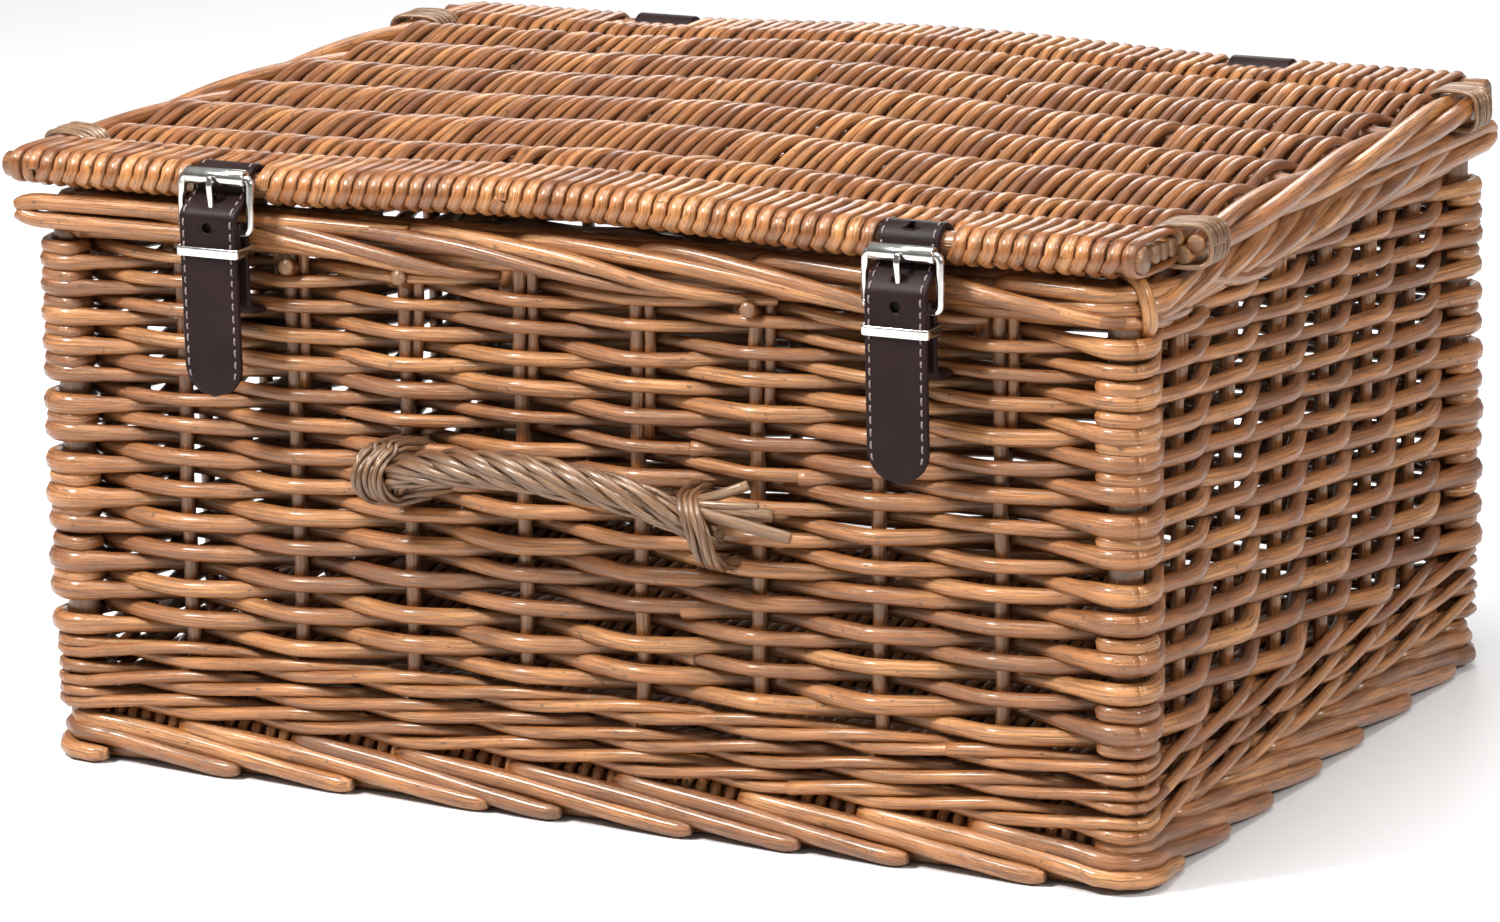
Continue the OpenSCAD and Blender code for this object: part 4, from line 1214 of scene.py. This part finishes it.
def keeper(side, b):
    """A flat metal band bent round both straps."""
    lo, hi = b.keeper_lo, b.keeper_hi
    t = 0.5
    z = (lo[2] + hi[2]) / 2
    corners = [(lo[0] + t, lo[1] + t, z), (hi[0] - t, lo[1] + t, z), (hi[0] - t, hi[1] - t, z),
               (lo[0] + t, hi[1] - t, z)]
    path = rounded_loop(corners, 1.6)
    work = Basketwork()
    band = slab_section(hi[2] - lo[2] - 0.8, 1.0, 0.45, 4)
    work.put(Strand(path, 1.0, ref=(0, 0, 1), section=band, tone=0.5), caps=(False, False))
    piece("keeper_" + side, work, "keeper_" + side, NICKEL)


# ---------- handle ----------

HANDLE_AXIS = next(j for j in frame["joints"] if j["name"] == "handle_swing")
AXIS_POINT = np.array(HANDLE_AXIS["pos_m"]) / MM - [0, SHIFT, 0]
AXIS_DIR = unit(np.array(HANDLE_AXIS["axis"], float))
EYE_AT = 68.2
END_AT = EYE_AT + 4


def rope_centre(s):
    """The rope's middle line, with its bow up and out between the eyes, and its radius."""
    t = (s + EYE_AT - 7) / (2 * (EYE_AT - 7))
    bow = np.where((t < 0) | (t > 1), 0, np.sin(math.pi * np.clip(t, 0, 1)) ** 0.5)
    up = np.cross(AXIS_DIR, [0, 1, 0])
    up = up * np.sign(up[2])
    lean = 3.6 * np.clip(t, 0, 1) - 2.0
    p = AXIS_POINT + s[:, None] * AXIS_DIR + bow[:, None] * (14.5 * up - [0, 12, 0]) + lean[:, None] * up
    return p, 5.6 + 2.0 * bow, up


def rope_handle():
    """Five plies laid together round a core, each of four split strands."""
    work = Basketwork()
    s = np.linspace(-END_AT, END_AT, 110)
    centre, radius, up = rope_centre(s)
    tangent = unit(np.gradient(centre, axis=0))
    out = unit(np.cross(tangent, np.broadcast_to(up, tangent.shape)))
    high = np.cross(out, tangent)
    plies, lay, inner_lay, share = 5, 66.0, 52.0, 0.41
    # The core is all in painted shade.
    work.put(Strand(centre, radius * 0.4, shade=0.9))
    for k in range(plies):
        turn = -2 * math.pi * (s / lay + k / plies)
        radial = np.cos(turn)[:, None] * out + np.sin(turn)[:, None] * high
        ply = centre + radial * (radius * (1 - share))[:, None]
        side = np.cross(tangent, radial)
        for m in range(4):
            inner = -2 * math.pi * (s / inner_lay + m / 4) + k
            offset = np.cos(inner)[:, None] * radial + np.sin(inner)[:, None] * side
            fine = radius * share * 0.46 * (1 + 0.12 * np.sin(s * 0.2 + m * 2 + k))
            path = ply + offset * (radius * share * 0.56)[:, None]
            # Painted shade: a strand is darker where it turns in towards the core.
            depth = np.clip(0.35 - 0.6 * np.cos(inner), 0, 0.85)
            tone = rng.uniform(0.1, 0.95)
            work.put(Strand(path, fine, wide=1.25, ref=side, sides=8, tone=tone, shade=depth))
    return work


def bundle(work, points, radius, count, r, lay=60.0):
    """A few split strands twisted loosely round a common path."""
    curve = spline(points, 2.0)
    run = np.concatenate([[0], np.cumsum(np.linalg.norm(np.diff(curve, axis=0), axis=1))])
    tangent = unit(np.gradient(curve, axis=0))
    a = unit(np.cross(tangent, [0.3, 1, 0.2]))
    b = np.cross(tangent, a)
    for m in range(count):
        turn = 2 * math.pi * (run / lay + m / count)
        path = curve + radius * (np.cos(turn)[:, None] * a + np.sin(turn)[:, None] * b)
        work.put(Strand(path, r * (1 + rng.normal(0, 0.06)), ref=(0, 1, 0), sides=7))


def handle_eyes():
    """Split willow looped round the rope's ends and taken into the wall, with a few cut tails."""
    work = Basketwork()
    wall = -STAKE_Y - 1
    left = AXIS_POINT - AXIS_DIR * EYE_AT
    x, y, z = left
    for dx, grow in ((-4.0, 0.6), (0.4, 0.0), (4.6, 0.5)):
        r = 7.6 + grow
        points = [[x + dx + 6, wall, z + 9], [x + dx + 2, y + 4, z + 9.6], [x + dx, y - r * 0.5, z + r * 0.9],
                  [x + dx - 1, y - r * 1.02, z + 1], [x + dx, y - r * 0.7, z - r * 0.75],
                  [x + dx + 3, y + 1, z - r - 1.5], [x + dx + 9, y + 5, z - r],
                  [x + dx + 17, wall, z - r + 2]]
        bundle(work, points, 1.5, 4, 1.15)
    x, y, z = AXIS_POINT + AXIS_DIR * EYE_AT
    for dx, grow in ((-3.0, 0.2), (1.6, 0.5)):
        r = 7.5 + grow
        points = [[x + dx - 11, wall, z + 13], [x + dx - 8, y + 1, z + 13.5],
                  [x + dx - 4.5, y - r * 0.8, z + 10.5],
                  [x + dx - 0.5, y - r * 1.06, z + 4], [x + dx + 2, y - r * 0.9, z - r * 0.6],
                  [x + dx + 3, y, z - r - 2.5], [x + dx + 2.5, wall, z - r - 5]]
        bundle(work, points, 1.45, 4, 1.15)
    for reach, rise, r, lean in ((15, 20, 1.5, 1), (25, 10, 1.9, 0), (33, 3, 1.8, -2), (20, 13, 1.3, -1)):
        start = np.array([x - 8, y - 1.5 + lean, z + 12])
        points = [start, start + [8, -1, (rise - 12) * 0.3], start + [8 + reach * 0.6, 0, (rise - 12) * 0.7],
                  start + [8 + reach, 1.5, rise - 12]]
        work.put(Strand(spline(points, 4), r, wide=1.3, ref=(0, 0, 1), sides=8, tone=0.8))
    return work


# ---------- building ----------

def build_basket():
    base, base_sticks = base_pieces()
    piece("base_weave", base, "basket", WILLOW)
    piece("base_sticks", base_sticks, "basket", WILLOW_DARK)
    piece("foot_border", foot_border(), "basket", WILLOW)
    piece("upsett_band", fine_band(), "basket", WILLOW)
    for wall, work in zip(("front", "right", "back", "left"), woven_walls()):
        piece("weave_" + wall, work, "basket", WILLOW)
    for wall, work in zip(("front", "right", "back", "left"), top_borders()):
        piece("top_border_" + wall, work, "basket", WILLOW)
    for index, wall in enumerate(("front", "right", "back", "left")):
        members = [u for u in UPRIGHTS if u[4] == index and not u[5]]
        piece("stakes_" + wall, uprights_work(members), "basket", WILLOW)
    for index, name in enumerate(("front_left", "front_right", "back_right", "back_left")):
        post = UPRIGHTS[WALL_STARTS[index]]
        piece("post_" + name, uprights_work([post]), "basket", WILLOW_DARK)
    piece("hinge_rod", bare_hinge_rod(), "basket", WILLOW_DARK)
    piece("handle_eyes", handle_eyes(), "basket", WILLOW_PALE)
    piece("rope_handle", rope_handle(), "handle", WILLOW_PALE)


def build_lid():
    halves, sticks, bundles = lid_pieces()
    piece("lid_weave_left_half", halves[0], "lid", WILLOW, ("lid_weave",))
    piece("lid_weave_right_half", halves[1], "lid", WILLOW, ("lid_weave",))
    piece("lid_sticks", sticks, "lid", WILLOW_DARK)
    piece("lid_front_rods", bundles[0], "lid", WILLOW_DARK)
    piece("lid_back_rods", bundles[1], "lid", WILLOW_DARK)
    for name, side in (("left", -1), ("right", 1)):
        piece("lid_side_rods_" + name, side_rods(side), "lid", WILLOW)
    piece("lid_lashings", lashings(), "lid", WILLOW_PALE)
    hinge_loop("left", -1)
    hinge_loop("right", 1)


def build_straps():
    for side in ("left", "right"):
        b = Buckle(side)
        lid_strap(side, b)
        buckle_strap(side, b)
        buckle_frame(side, b)
        roller(side, b)
        prong(side, b)
        keeper(side, b)


# ---------- studio ----------

def studio():
    mesh = bpy.data.meshes.new("floor")
    size = 12.0
    corners = [(-size, -size, 0), (size, -size, 0), (size, size, 0), (-size, size, 0)]
    mesh.from_pydata(corners, [], [(0, 1, 2, 3)])
    floor = bpy.data.objects.new("floor", mesh)
    bpy.context.scene.collection.objects.link(floor)
    mat, _, shader = node_tree("floor")
    shader.inputs["Base Color"].default_value = (0.73, 0.73, 0.735, 1)
    shader.inputs["Roughness"].default_value = 0.6
    floor.data.materials.append(mat)
    studio_world()
    bpy.context.scene.view_settings.view_transform = "Standard"
    lamp("key", (-0.8, -1.2, 1.7), 0.42, 66)
    lamp("top", (0.1, -0.3, 1.9), 1.0, 36)
    lamp("back", (-0.7, 2.1, 1.1), 0.7, 9)
    lamp("right", (1.8, -0.6, 1.2), 0.4, 24)


def studio_world():
    """Bright overhead and dimmer towards the floor."""
    world = bpy.data.worlds.new("studio")
    world.use_nodes = True
    tree = world.node_tree
    place = add(tree, "ShaderNodeTexCoord").outputs["Generated"]
    height = add(tree, "ShaderNodeSeparateXYZ", {0: place}).outputs["Z"]
    light = ramp(tree, height, [(0.0, (0.22, 0.21, 0.20)), (0.75, (0.85, 0.85, 0.85))])
    background = tree.nodes["Background"]
    tree.links.new(light, background.inputs["Color"])
    background.inputs["Strength"].default_value = 0.62
    bpy.context.scene.world = world


def lamp(name, place, size, power):
    data = bpy.data.lights.new(name, "AREA")
    data.size, data.energy = size, power
    obj = bpy.data.objects.new(name, data)
    obj.location = place
    obj.rotation_euler = (Vector((0, 0, 0.1)) - Vector(place)).to_track_quat("-Z", "Y").to_euler()
    bpy.context.scene.collection.objects.link(obj)


def camera():
    """The camera of the reference view: yaw, pitch and roll, and where it stands."""
    yaw, pitch, roll = math.radians(26.6), math.radians(13.87), math.radians(-0.9)
    back = np.array([math.sin(yaw) * math.cos(pitch), -math.cos(yaw) * math.cos(pitch), math.sin(pitch)])
    right = np.array([math.cos(yaw), math.sin(yaw), 0])
    up = np.cross(back, right)
    place = np.array([0, SHIFT, 109.93]) + back * 2521.6 - right * 11.08 - up * 10.03
    right, up = (right * math.cos(roll) + up * math.sin(roll), up * math.cos(roll) - right * math.sin(roll))
    data = bpy.data.cameras.new("camera")
    data.lens, data.sensor_width, data.clip_end = 155.69, 36, 60
    obj = bpy.data.objects.new("camera", data)
    bpy.context.scene.collection.objects.link(obj)
    turn = np.column_stack([right, up, back])
    matrix = np.eye(4)
    matrix[:3, :3] = turn
    matrix[:3, 3] = place * MM
    obj.matrix_world = Matrix(matrix.tolist())
    bpy.context.scene.camera = obj


camera()
studio()
build_basket()
build_lid()
build_straps()
